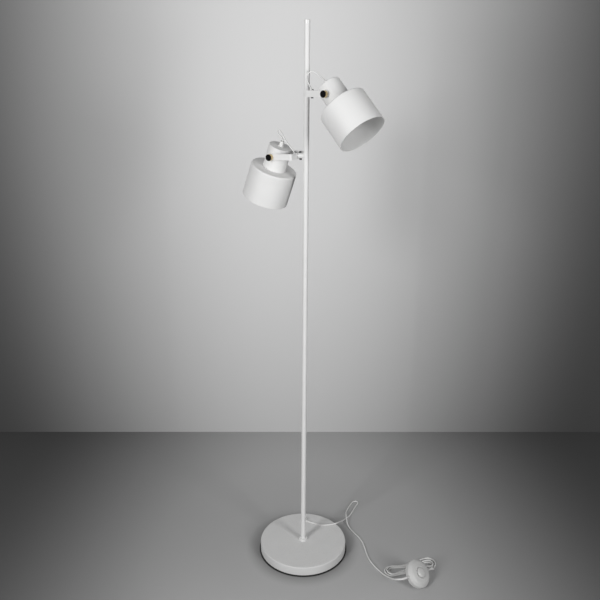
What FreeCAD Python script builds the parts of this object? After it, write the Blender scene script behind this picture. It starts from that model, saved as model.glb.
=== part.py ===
import FreeCAD, Part
import math
import os

import Sketcher

# White floor lamp: a round foot, a two-piece pole and two spot heads on yoke brackets,
# with a floor cord that carries a foot switch, a hank of spare length and a flat plug.
# Millimetres, +Z up, origin on the floor at the centre of the foot.
# The stubs lie along X, the upper head on the +X side and the lower one on the -X side.

Vector = FreeCAD.Vector
Rotation = FreeCAD.Rotation
Placement = FreeCAD.Placement

X_AXIS = Vector(1, 0, 0)
Y_AXIS = Vector(0, 1, 0)
Z_AXIS = Vector(0, 0, 1)
ALONG_X = Rotation(Y_AXIS, 90)
ALONG_Y = Rotation(X_AXIS, -90)

# Driving dimensions: alias and value, in millimetres and degrees
SIZES = [
    # foot
    ("base_diameter", 255.0),
    ("base_height", 29.0),
    ("base_wall", 1.5),
    ("base_edge_radius", 3.0),
    ("pad_thickness", 3.0),
    ("pad_inset", 1.5),
    ("pad_insert_height", 4.0),
    ("pad_clearance", 0.1),
    ("weight_clearance", 1.0),
    ("wire_room", 4.0),
    ("rod_diameter", 10.0),
    ("rod_bore", 6.5),
    ("rod_length", 52.0),
    ("rod_hole_clearance", 0.3),
    ("nut_width", 17.0),
    ("nut_thickness", 5.0),
    ("washer_diameter", 30.0),
    ("washer_thickness", 2.0),
    ("collar_diameter", 24.0),
    ("collar_height", 7.0),
    ("collar_edge_radius", 1.5),
    ("foot_insert_length", 32.0),
    # pole
    ("pole_diameter", 14.0),
    ("pole_wall", 1.2),
    ("pole_top_height", 1500.0),
    ("pole_joint_height", 789.0),
    ("joiner_length", 60.0),
    ("joiner_bore", 7.5),
    ("slip_clearance", 0.1),
    ("tube_end_chamfer", 0.4),
    ("cap_height", 8.0),
    ("cap_overhang", 0.4),
    ("cap_edge_radius", 1.2),
    ("cap_plug_length", 12.0),
    # head stubs and yoke brackets
    ("upper_stub_height", 1332.0),
    ("lower_stub_height", 1183.0),
    ("socket_diameter", 13.5),
    ("swivel_diameter", 8.0),
    ("swivel_bore", 5.2),
    ("swivel_clearance", 0.1),
    ("yoke_offset", 22.4),
    ("yoke_gap", 0.3),
    ("yoke_thickness", 2.5),
    ("yoke_strap", 15.0),
    ("yoke_bend_radius", 2.0),
    ("yoke_side_clearance", 1.2),
    ("pivot_reach", 84.3),
    ("pivot_screw_diameter", 5.0),
    ("pivot_hole_clearance", 0.2),
    ("swivel_nut_width", 12.0),
    ("swivel_nut_thickness", 2.5),
    ("clamp_screw_diameter", 3.0),
    ("clamp_head_diameter", 6.2),
    ("clamp_head_height", 4.0),
    ("clamp_screw_reach", 17.0),
    ("knob_diameter", 16.5),
    ("knob_length", 9.5),
    ("knob_washer_thickness", 1.0),
    ("knob_washer_diameter", 13.0),
    ("knob_face_recess", 0.7),
    ("knob_edge_radius", 0.6),
    ("insert_diameter", 9.0),
    ("insert_length", 5.0),
    # spot heads
    ("neck_diameter", 60.5),
    ("neck_length", 60.0),
    ("neck_wall", 1.2),
    ("neck_edge_radius", 2.0),
    ("pivot_from_back", 25.5),
    ("shade_diameter", 120.5),
    ("shade_depth", 88.0),
    ("shade_wall", 1.2),
    ("shade_edge_radius", 4.0),
    ("shade_neck_lap", 8.0),
    ("holder_diameter", 40.0),
    ("holder_wall", 2.5),
    ("holder_bore", 27.5),
    ("holder_length", 46.0),
    ("holder_boss_height", 6.0),
    ("ring_thickness", 4.0),
    ("bulb_diameter", 45.0),
    ("bulb_neck_diameter", 27.0),
    ("bulb_body_length", 50.0),
    ("bulb_cap_diameter", 26.4),
    ("bulb_cap_length", 24.0),
    ("grip_diameter", 11.0),
    ("grip_height", 13.5),
    ("grip_flange_diameter", 14.0),
    ("grip_flange_height", 2.0),
    ("grip_thread_diameter", 9.0),
    ("grip_nut_width", 14.0),
    ("grip_nut_thickness", 3.0),
    ("lead_diameter", 3.4),
    # rest pose of the two arms, as in the photograph
    ("upper_azimuth", -3.9),
    ("upper_droop", -2.5),
    ("upper_roll", -3.6),
    ("upper_tilt", 46.2),
    ("lower_azimuth", 183.9),
    ("lower_droop", 4.9),
    ("lower_roll", 0.0),
    ("lower_tilt", 65.0),
    # floor cord, switch and plug
    ("cord_diameter", 4.0),
    ("cord_floor_gap", 0.2),
    ("boot_x", -48.0),
    ("boot_y", 76.5),
    ("boot_diameter", 13.0),
    ("boot_height", 7.5),
    ("boot_flat", 5.0),
    ("boot_stem_diameter", 8.0),
    ("switch_x", 347.0),
    ("switch_y", 66.2),
    ("switch_azimuth", -3.7),
    ("switch_tilt", 46.0),
    ("switch_diameter", 79.5),
    ("switch_base_height", 9.0),
    ("switch_height", 22.0),
    ("switch_wall", 2.0),
    ("switch_edge_radius", 2.0),
    ("switch_seam", 0.2),
    ("switch_crown_diameter", 62.0),
    ("switch_side_height", 12.0),
    ("switch_crown_drop", 2.2),
    ("switch_shoulder_radius", 5.0),
    ("switch_crown_radius", 14.0),
    ("switch_screw_diameter", 3.0),
    ("switch_screw_circle", 60.0),
    ("button_diameter", 28.0),
    ("button_rise", 4.5),
    ("button_travel", 3.0),
    ("button_clearance", 0.5),
    ("button_flange", 2.5),
    ("button_dish_diameter", 34.0),
    ("button_dish_depth", 1.5),
    ("spring_diameter", 12.0),
    ("nozzle_angle", 163.0),
    ("nozzle_height", 9.0),
    ("nozzle_diameter", 8.0),
    ("nozzle_length", 10.0),
    ("hank_x", 305.0),
    ("hank_y", 111.0),
    ("hank_azimuth", 52.0),
    ("hank_half_length", 58.0),
    ("hank_outer_offset", 20.0),
    ("hank_inner_offset", 13.0),
    ("hank_layer_rise", 4.7),
    ("outlet_loop_radius", 22.0),
    ("outlet_heading", 98.0),
    ("plug_turn_radius", 12.5),
    ("plug_turn_place", 28.5),
    ("plug_turn_angle", 172.5),
    ("plug_width", 34.0),
    ("plug_thickness", 13.6),
    ("plug_length", 27.0),
    ("plug_neck_width", 12.0),
    ("plug_neck_length", 8.0),
    ("plug_edge_radius", 3.0),
    ("pin_diameter", 4.0),
    ("pin_length", 19.0),
    ("pin_spacing", 18.6),
]

doc = FreeCAD.newDocument("TwoSpotFloorLamp")
sheet = doc.addObject("Spreadsheet::Sheet", "Sizes")
for row, (alias, number) in enumerate(SIZES, start=1):
    sheet.set("A%d" % row, alias)
    sheet.set("B%d" % row, str(number))
    sheet.setAlias("B%d" % row, alias)
doc.recompute()

parts = []


def size(alias):
    """The number in the sheet's cell of that alias."""
    return float(sheet.get(alias))


def reckon(expression):
    """The value of an expression on the sheet's cells."""
    result = sheet.evalExpression(expression)
    return float(getattr(result, "Value", result))


def keep(item, label, placement=None):
    """Names a finished sub-part, sets its place, and lists it for export."""
    item.Label = label
    if placement is not None:
        item.Placement = placement
    parts.append(item)
    return item


def new_body(label, placement=None):
    body = doc.addObject("PartDesign::Body", label)
    return keep(body, label, placement)


def outline_sketch(body, role, corners, name):
    """A closed outline on one of the body's own planes; each corner is two expressions."""
    plane = [item for item in body.Origin.OriginFeatures if item.Role == role][0]
    sketch = body.newObject("Sketcher::SketchObject", name)
    sketch.AttachmentSupport = [(plane, "")]
    sketch.MapMode = "FlatFace"
    places = [Vector(reckon(across), reckon(along), 0) for across, along in corners]
    count = len(places)
    for i in range(count):
        sketch.addGeometry(Part.LineSegment(places[i], places[(i + 1) % count]), False)
    for i in range(count):
        sketch.addConstraint(Sketcher.Constraint("Coincident", i, 2, (i + 1) % count, 1))
    for i, (across, along) in enumerate(corners):
        for kind, axis, expression, number in (
            ("DistanceX", -2, across, places[i].x),
            ("DistanceY", -1, along, places[i].y),
        ):
            if expression == "0":
                sketch.addConstraint(Sketcher.Constraint("PointOnObject", i, 1, axis))
            else:
                tie = sketch.addConstraint(Sketcher.Constraint(kind, -1, 1, i, 1, number))
                sketch.setExpression("Constraints[%d]" % tie, expression)
    return sketch


def turned(label, corners, placement=None):
    """A body turned about Z from an outline of (radius, height) expressions."""
    body = new_body(label, placement)
    sketch = outline_sketch(body, "XZ_Plane", corners, label + "_outline")
    turn = body.newObject("PartDesign::Revolution", label + "_turn")
    turn.Profile = sketch
    turn.ReferenceAxis = (sketch, ["V_Axis"])
    turn.Angle = 360
    doc.recompute()
    return body


def tube(label, outer, bore, length, placement=None, foot="0"):
    """A turned tube: outer and bore are diameters, foot its lower end."""
    outer_radius = "(%s) / 2" % outer
    bore_radius = "(%s) / 2" % bore
    top = "(%s) + (%s)" % (foot, length)
    corners = [
        (bore_radius, foot),
        (outer_radius, foot),
        (outer_radius, top),
        (bore_radius, top),
    ]
    return turned(label, corners, placement)


def cylinder(body, kind, radius, height, base=("0", "0", "0"), turn=None, name="round"):
    """An added or removed cylinder whose sizes and place are expressions."""
    item = body.newObject("PartDesign::%sCylinder" % kind, body.Label + "_" + name)
    item.setExpression("Radius", radius)
    item.setExpression("Height", height)
    item.Placement = Placement(Vector(), turn or Rotation())
    for axis, expression in zip("xyz", base):
        item.setExpression("Placement.Base." + axis, expression)
    doc.recompute()
    return item


def drill(body, radius, height, base=("0", "0", "0"), turn=None, name="hole"):
    """A drilled hole, which has to remove material."""
    before = body.Shape.Volume
    item = cylinder(body, "Subtractive", radius, height, base, turn, name)
    if body.Shape.Volume > before - 1e-6:
        raise ValueError("%s: the hole %s removes nothing" % (body.Label, name))
    return item


def block(body, kind, length, width, height, base, turn=None, name="block"):
    """An added or removed box whose sizes and place are expressions."""
    item = body.newObject("PartDesign::%sBox" % kind, body.Label + "_" + name)
    item.setExpression("Length", length)
    item.setExpression("Width", width)
    item.setExpression("Height", height)
    item.Placement = Placement(Vector(), turn or Rotation())
    for axis, expression in zip("xyz", base):
        item.setExpression("Placement.Base." + axis, expression)
    doc.recompute()
    return item


def ring_edges(body, radius, height, tolerance=1e-4):
    """The circular edges of that radius about Z, at that height."""
    found = []
    local = body.Tip.Shape
    for number, edge in enumerate(local.Edges, start=1):
        curve = edge.Curve
        if not isinstance(curve, Part.Circle):
            continue
        same_size = abs(curve.Radius - radius) < tolerance
        if same_size and abs(curve.Center.z - height) < tolerance:
            found.append("Edge%d" % number)
    return found


def straight_edges(body, direction, test):
    """The straight edges along a direction whose middle passes a test."""
    found = []
    for number, edge in enumerate(body.Tip.Shape.Edges, start=1):
        if not isinstance(edge.Curve, Part.Line):
            continue
        run = edge.Vertexes[-1].Point - edge.Vertexes[0].Point
        if run.cross(direction).Length > 1e-6 * max(run.Length, 1):
            continue
        if test(edge.CenterOfMass):
            found.append("Edge%d" % number)
    return found


def soften(body, edges, radius, kind="Fillet", name="edge"):
    """Rounds or chamfers edges of the body's last feature."""
    if not edges:
        raise ValueError("%s: no edge for %s" % (body.Label, name))
    last = body.Tip
    item = body.newObject("PartDesign::" + kind, body.Label + "_" + name)
    item.Base = (last, edges)
    item.setExpression("Radius" if kind == "Fillet" else "Size", radius)
    doc.recompute()
    return item


def hexagon_nut(label, width, bore, thickness, placement=None, foot="0"):
    """A hexagon nut about Z: width across flats, bore diameter, thickness, lower face."""
    body = new_body(label, placement)
    prism = body.newObject("PartDesign::AdditivePrism", label + "_prism")
    prism.Polygon = 6
    prism.setExpression("Circumradius", "(%s) / (2 * cos(30 deg))" % width)
    prism.setExpression("Height", thickness)
    prism.setExpression("Placement.Base.z", foot)
    doc.recompute()
    below = ("0", "0", "(%s) - (%s)" % (foot, thickness))
    drill(body, "(%s) / 2" % bore, "(%s) * 3" % thickness, below)
    return body


def shaped(label, shape, placement=None):
    """A sub-part whose shape is made with Part's own functions."""
    item = doc.addObject("Part::Feature", label)
    item.Shape = shape
    return keep(item, label, placement or Placement())


# Cord tubes: straight runs joined by tangent arcs


def run_edges(points, report=None):
    """Edges through a list of points, every corner turned into an arc."""
    edges = []
    radii = []
    start = points[0]
    for before, corner, after in zip(points, points[1:], points[2:]):
        into = (corner - before).normalize()
        away = (after - corner).normalize()
        turn = into.getAngle(away)
        shorter = min((corner - before).Length, (after - corner).Length)
        cut = 0.45 * shorter
        radius = cut / math.tan(turn / 2)
        radii.append(radius)
        first = corner - into * cut
        last = corner + away * cut
        bisector = (away - into).normalize()
        middle = corner + bisector * (radius / math.cos(turn / 2) - radius)
        edges.append(Part.LineSegment(start, first).toShape())
        edges.append(Part.Arc(first, middle, last).toShape())
        start = last
    edges.append(Part.LineSegment(start, points[-1]).toShape())
    if report:
        listed = " ".join("%.1f" % radius for radius in radii)
        print("%s: radii of the turns in mm: %s" % (report, listed))
    return edges


def swept(label, edges, diameter, placement=None):
    """A round tube along edges, checked against its section times its length."""
    path = Part.Wire(edges)
    start = edges[0].Vertexes[0].Point
    heading = edges[0].tangentAt(edges[0].FirstParameter)
    section = Part.Wire(Part.makeCircle(diameter / 2, start, heading))
    shape = path.makePipeShell([section], True, False)
    share = shape.Volume / (math.pi * diameter ** 2 / 4 * path.Length)
    print("%s: length %.0f mm, volume %.4f of section times length" % (label, path.Length, share))
    if abs(share - 1) > 0.01:
        raise ValueError("%s: the tube has the wrong volume" % label)
    return shaped(label, shape, placement)


def least_self_gap(edges, diameter, spacing=1.5, skip=5.0):
    """The least gap of a tube to itself, measured on points along its line."""
    path = Part.Wire(edges)
    count = int(path.Length / spacing)
    points = path.discretize(Number=count)
    step = path.Length / (count - 1)
    apart = int(skip * diameter / step)
    gap = 1e9
    for i in range(count):
        for j in range(i + apart, count):
            gap = min(gap, (points[i] - points[j]).Length)
    return gap - diameter


# Foot


def make_foot():
    rim = "Sizes.base_diameter / 2"
    hole = "(Sizes.rod_diameter + 2 * Sizes.rod_hole_clearance) / 2"
    cover = turned("base_cover", [
        (hole, "Sizes.base_height"),
        (rim, "Sizes.base_height"),
        (rim, "Sizes.pad_thickness"),
        (rim + " - Sizes.base_wall", "Sizes.pad_thickness"),
        (rim + " - Sizes.base_wall", "Sizes.base_height - Sizes.base_wall"),
        (hole, "Sizes.base_height - Sizes.base_wall"),
    ])
    edges = ring_edges(cover, size("base_diameter") / 2, size("base_height"))
    soften(cover, edges, "Sizes.base_edge_radius", name="rim")
    inner = size("base_diameter") / 2 - size("base_wall")
    edges = ring_edges(cover, inner, size("base_height") - size("base_wall"))
    soften(cover, edges, "Sizes.base_edge_radius - Sizes.base_wall", name="inner_rim")
    boot = ("Sizes.boot_x", "Sizes.boot_y")
    stem_hole = "(Sizes.boot_stem_diameter + 0.4) / 2"
    low = boot + ("Sizes.pad_thickness",)
    drill(cover, stem_hole, "Sizes.base_height", low, name="cord_hole")

    weight_top = "Sizes.base_height - Sizes.base_wall - 0.2"
    weight_foot = "(Sizes.pad_thickness + Sizes.pad_insert_height)"
    weight_rim = rim + " - Sizes.base_wall - Sizes.weight_clearance"
    weight = turned("base_weight", [
        (hole, weight_foot),
        (weight_rim, weight_foot),
        (weight_rim, weight_top),
        (hole, weight_top),
    ])
    inner = size("base_diameter") / 2 - size("base_wall") - size("weight_clearance")
    edges = ring_edges(weight, inner, reckon(weight_top))
    soften(weight, edges, "Sizes.base_edge_radius", "Chamfer", name="top_edge")
    stem_hole = "(Sizes.boot_stem_diameter + 1) / 2"
    drill(weight, stem_hole, "Sizes.base_height", boot + ("0",), name="cord_hole")
    pocket = "Sizes.wire_room + Sizes.nut_thickness + Sizes.washer_thickness"
    pocket_radius = "(Sizes.washer_diameter + 1) / 2"
    drill(weight, pocket_radius, pocket, ("0", "0", weight_foot), name="nut_pocket")
    reach = "sqrt(Sizes.boot_x ^ 2 + Sizes.boot_y ^ 2)"
    half_way = "Sizes.boot_stem_diameter / 2"
    channel_start = (
        half_way + " * Sizes.boot_y / " + reach,
        "-" + half_way + " * Sizes.boot_x / " + reach,
        weight_foot,
    )
    bearing = Rotation(Z_AXIS, math.degrees(math.atan2(size("boot_y"), size("boot_x"))))
    width = "Sizes.boot_stem_diameter"
    block(weight, "Subtractive", reach, width, width, channel_start, bearing, "wire_channel")

    pad_rim = rim + " - Sizes.pad_inset"
    pad_plug = rim + " - Sizes.base_wall - Sizes.pad_clearance"
    turned("base_pad", [
        ("0", "0"),
        (pad_rim, "0"),
        (pad_rim, "Sizes.pad_thickness"),
        (pad_plug, "Sizes.pad_thickness"),
        (pad_plug, weight_foot),
        ("0", weight_foot),
    ])

    nut_foot = weight_foot + " + Sizes.wire_room"
    washer_foot = nut_foot + " + Sizes.nut_thickness"
    rod = "Sizes.rod_diameter"
    washer_hole = rod + " + 2 * Sizes.rod_hole_clearance"
    washer_height = "Sizes.washer_thickness"
    tube("base_washer", "Sizes.washer_diameter", washer_hole, washer_height, foot=washer_foot)
    hexagon_nut("base_nut", "Sizes.nut_width", rod, "Sizes.nut_thickness", foot=nut_foot)
    tube("clamp_rod", rod, "Sizes.rod_bore", "Sizes.rod_length", foot=nut_foot)

    collar_bore = "Sizes.pole_diameter + 2 * Sizes.slip_clearance"
    collar = tube(
        "pole_collar",
        "Sizes.collar_diameter",
        collar_bore,
        "Sizes.collar_height",
        foot="Sizes.base_height",
    )
    collar_top = size("base_height") + size("collar_height")
    edges = ring_edges(collar, size("collar_diameter") / 2, collar_top)
    soften(collar, edges, "Sizes.collar_edge_radius", name="top_edge")

    foot = "Sizes.base_height"
    bore = "Sizes.pole_diameter - 2 * Sizes.pole_wall - 2 * Sizes.slip_clearance"
    tube("foot_insert", bore, "Sizes.rod_diameter", "Sizes.foot_insert_length", foot=foot)

    stem = "Sizes.boot_stem_diameter / 2"
    boot_top = "Sizes.base_height + Sizes.boot_height"
    body = turned("cord_boot", [
        ("0", weight_top + " - 6"),
        (stem, weight_top + " - 6"),
        (stem, "Sizes.base_height"),
        ("Sizes.boot_diameter / 2", "Sizes.base_height"),
        ("Sizes.boot_diameter / 2", boot_top),
        ("0", boot_top),
    ], Placement(Vector(size("boot_x"), size("boot_y"), 0), Rotation()))
    edges = ring_edges(body, size("boot_diameter") / 2, reckon(boot_top))
    soften(body, edges, "Sizes.boot_height / 3", name="top_edge")
    block(
        body,
        "Subtractive",
        "Sizes.boot_diameter",
        "Sizes.boot_diameter * 2",
        "Sizes.boot_height * 2",
        ("Sizes.boot_flat", "-Sizes.boot_diameter", "Sizes.base_height"),
        name="outlet_flat",
    )


# Pole


def make_pole():
    bore = "Sizes.pole_diameter - 2 * Sizes.pole_wall"
    half = "Sizes.pole_diameter / 2"
    pole = "Sizes.pole_diameter"
    joint = "Sizes.pole_joint_height"
    lower_length = joint + " - Sizes.base_height"
    lower = tube("lower_tube", pole, bore, lower_length, foot="Sizes.base_height")
    edges = ring_edges(lower, size("pole_diameter") / 2, size("pole_joint_height"))
    soften(lower, edges, "Sizes.tube_end_chamfer", "Chamfer", name="joint_edge")

    tube_top = "Sizes.pole_top_height - Sizes.cap_height"
    upper = tube("upper_tube", pole, bore, tube_top + " - " + joint, foot=joint)
    edges = ring_edges(upper, size("pole_diameter") / 2, size("pole_joint_height"))
    soften(upper, edges, "Sizes.tube_end_chamfer", "Chamfer", name="joint_edge")
    for side in ("upper", "lower"):
        base = ("0", "0", "Sizes.%s_stub_height" % side)
        turn = arm_place(side).Rotation * ALONG_X
        stub_hole = "Sizes.swivel_diameter / 2 + Sizes.swivel_clearance"
        drill(upper, stub_hole, pole, base, turn, side + "_stub_hole")

    joiner_outer = bore + " - 2 * Sizes.slip_clearance"
    joiner_foot = joint + " - Sizes.joiner_length / 2"
    tube("tube_joiner", joiner_outer, "Sizes.joiner_bore", "Sizes.joiner_length", foot=joiner_foot)

    cap_rim = half + " + Sizes.cap_overhang / 2"
    plug = "(%s) / 2 - Sizes.slip_clearance" % bore
    cap = turned("top_cap", [
        ("0", tube_top + " - Sizes.cap_plug_length"),
        (plug, tube_top + " - Sizes.cap_plug_length"),
        (plug, tube_top),
        (cap_rim, tube_top),
        (cap_rim, "Sizes.pole_top_height"),
        ("0", "Sizes.pole_top_height"),
    ])
    edges = ring_edges(cap, reckon(cap_rim), size("pole_top_height"))
    soften(cap, edges, "Sizes.cap_edge_radius", name="top_edge")


# Heads: the arm frame has its X axis along the stub, away from the pole


def arm_place(side):
    turn = Rotation(Z_AXIS, size(side + "_azimuth"))
    turn = turn * Rotation(Y_AXIS, size(side + "_droop"))
    turn = turn * Rotation(X_AXIS, size(side + "_roll"))
    return Placement(Vector(0, 0, size(side + "_stub_height")), turn)


def head_place(side):
    """The head frame: origin at the middle of the neck's back, Z towards the mouth."""
    pivot = Placement(Vector(size("pivot_reach"), 0, 0), Rotation(Y_AXIS, 90 + size(side + "_tilt")))
    back = Placement(Vector(0, 0, -size("pivot_from_back")), Rotation())
    return arm_place(side) * pivot * back


def make_stub(side):
    arm = arm_place(side)
    axis = arm * Placement(Vector(), ALONG_X)
    outer = size("socket_diameter") / 2
    reach = size("yoke_offset") - size("yoke_gap")
    bore = size("swivel_diameter") / 2 + size("swivel_clearance")
    blank = Part.makeCylinder(outer, reach, Vector(), X_AXIS)
    blank = blank.cut(Part.makeCylinder(bore, reach, Vector(), X_AXIS))
    screw_hole = size("clamp_screw_diameter") / 2
    seat = Vector(size("clamp_screw_reach"), 0, -2 * outer)
    blank = blank.cut(Part.makeCylinder(screw_hole, 4 * outer, seat, Z_AXIS))
    pole = Part.makeCylinder(size("pole_diameter") / 2, 8 * outer, Vector(0, 0, -4 * outer), Z_AXIS)
    crossing = Placement(Vector(0, 0, size(side + "_stub_height")), Rotation())
    pole.Placement = arm.inverse() * crossing
    shaped(side + "_socket", blank.cut(pole), arm)

    screws = []
    gap = 0.05
    for sign in (1, -1):
        foot = Vector(size("clamp_screw_reach"), 0, sign * (size("swivel_diameter") / 2 + gap))
        head = Vector(size("clamp_screw_reach"), 0, sign * (outer + gap))
        heading = Vector(0, 0, sign)
        shank = Part.makeCylinder(screw_hole - gap, outer, foot, heading)
        height = size("clamp_head_height")
        top = Part.makeCylinder(size("clamp_head_diameter") / 2, height, head, heading)
        key_foot = head + heading * height / 2
        key = Part.makeCylinder(size("clamp_screw_diameter") / 2, height / 2, key_foot, heading)
        screws.append(shank.fuse(top).removeSplitter().cut(key))
    shaped(side + "_clamp_screws", Part.makeCompound(screws), arm)

    inner_end = "Sizes.yoke_offset + Sizes.yoke_thickness + Sizes.swivel_nut_thickness"
    start = "Sizes.pole_diameter / 2 - Sizes.pole_wall"
    thread = "Sizes.swivel_diameter"
    length = "%s - (%s)" % (inner_end, start)
    tube(side + "_swivel_tube", thread, "Sizes.swivel_bore", length, axis, foot=start)
    nut_width = "Sizes.swivel_nut_width"
    nut_height = "Sizes.swivel_nut_thickness"
    nut_foot = "Sizes.yoke_offset + Sizes.yoke_thickness"
    hexagon_nut(side + "_swivel_nut", nut_width, thread, nut_height, axis, foot=nut_foot)


def make_yoke(side):
    width = "(Sizes.neck_diameter + 2 * Sizes.yoke_side_clearance + 2 * Sizes.yoke_thickness)"
    inner = "Sizes.yoke_offset + Sizes.yoke_thickness"
    far_end = "Sizes.pivot_reach + Sizes.yoke_strap / 2"
    half = reckon(width) / 2
    arm = arm_place(side) * Placement(Vector(0, -half, 0), Rotation())
    body = new_body(side + "_yoke", arm)
    sketch = outline_sketch(body, "XY_Plane", [
        ("Sizes.yoke_offset", "0"),
        (far_end, "0"),
        (far_end, "Sizes.yoke_thickness"),
        (inner, "Sizes.yoke_thickness"),
        (inner, width + " - Sizes.yoke_thickness"),
        (far_end, width + " - Sizes.yoke_thickness"),
        (far_end, width),
        ("Sizes.yoke_offset", width),
    ], side + "_yoke_outline")
    pad = body.newObject("PartDesign::Pad", side + "_yoke_strap")
    pad.Profile = sketch
    pad.Midplane = True
    pad.setExpression("Length", "Sizes.yoke_strap")
    doc.recompute()
    outer_x = size("yoke_offset")
    inner_x = outer_x + size("yoke_thickness")
    bends = straight_edges(body, Z_AXIS, lambda p: abs(p.x - outer_x) < 1e-4)
    soften(body, bends, "Sizes.yoke_bend_radius + Sizes.yoke_thickness", name="outer_bends")
    bends = straight_edges(body, Z_AXIS, lambda p: abs(p.x - inner_x) < 1e-4)
    soften(body, bends, "Sizes.yoke_bend_radius", name="inner_bends")
    end_x = reckon(far_end)
    tips = straight_edges(body, Y_AXIS, lambda p: abs(p.x - end_x) < 1e-4)
    soften(body, tips, "Sizes.yoke_strap / 2 - 0.05", name="ear_ends")
    pivot = ("Sizes.pivot_reach", "0", "0")
    pivot_hole = "(Sizes.pivot_screw_diameter + Sizes.pivot_hole_clearance) / 2"
    drill(body, pivot_hole, width, pivot, ALONG_Y, "pivot_holes")
    stub = ("0", width + " / 2", "0")
    stub_hole = "(Sizes.swivel_diameter + 0.1) / 2"
    drill(body, stub_hole, "Sizes.pivot_reach", stub, ALONG_X, "stub_hole")


def make_knobs(side):
    """Thumb screws and their washers; each frame has its Z axis out of the yoke's ear."""
    ear = "(Sizes.neck_diameter / 2 + Sizes.yoke_side_clearance + Sizes.yoke_thickness)"
    seat = ear + " + Sizes.knob_washer_thickness"
    face = seat + " + Sizes.knob_length"
    tip = "Sizes.neck_diameter / 2 - Sizes.insert_length + 0.5"
    shank = "Sizes.pivot_screw_diameter / 2"
    rim = "Sizes.knob_diameter / 2"
    recess = rim + " - 1.3"
    pivot = arm_place(side) * Placement(Vector(size("pivot_reach"), 0, 0), Rotation())
    washers = []
    for hand, turn in (("left", -90), ("right", 90)):
        place = pivot * Placement(Vector(), Rotation(X_AXIS, turn))
        knob = turned("%s_%s_knob" % (side, hand), [
            ("0", tip),
            (shank, tip),
            (shank, seat),
            (rim, seat),
            (rim, face),
            (recess, face),
            (recess, face + " - Sizes.knob_face_recess"),
            ("0", face + " - Sizes.knob_face_recess"),
        ], place)
        edges = ring_edges(knob, reckon(rim), reckon(seat))
        edges += ring_edges(knob, reckon(rim), reckon(face))
        soften(knob, edges, "Sizes.knob_edge_radius", "Chamfer", name="rims")
        thickness = size("knob_washer_thickness")
        base = Vector(0, 0, reckon(ear))
        washer = Part.makeCylinder(size("knob_washer_diameter") / 2, thickness, base)
        hole = (size("pivot_screw_diameter") + size("pivot_hole_clearance")) / 2
        washer = washer.cut(Part.makeCylinder(hole, 100, Vector()))
        washer.Placement = Placement(Vector(), Rotation(X_AXIS, turn))
        washers.append(washer)
    shaped(side + "_knob_washers", Part.makeCompound(washers), pivot)


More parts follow.
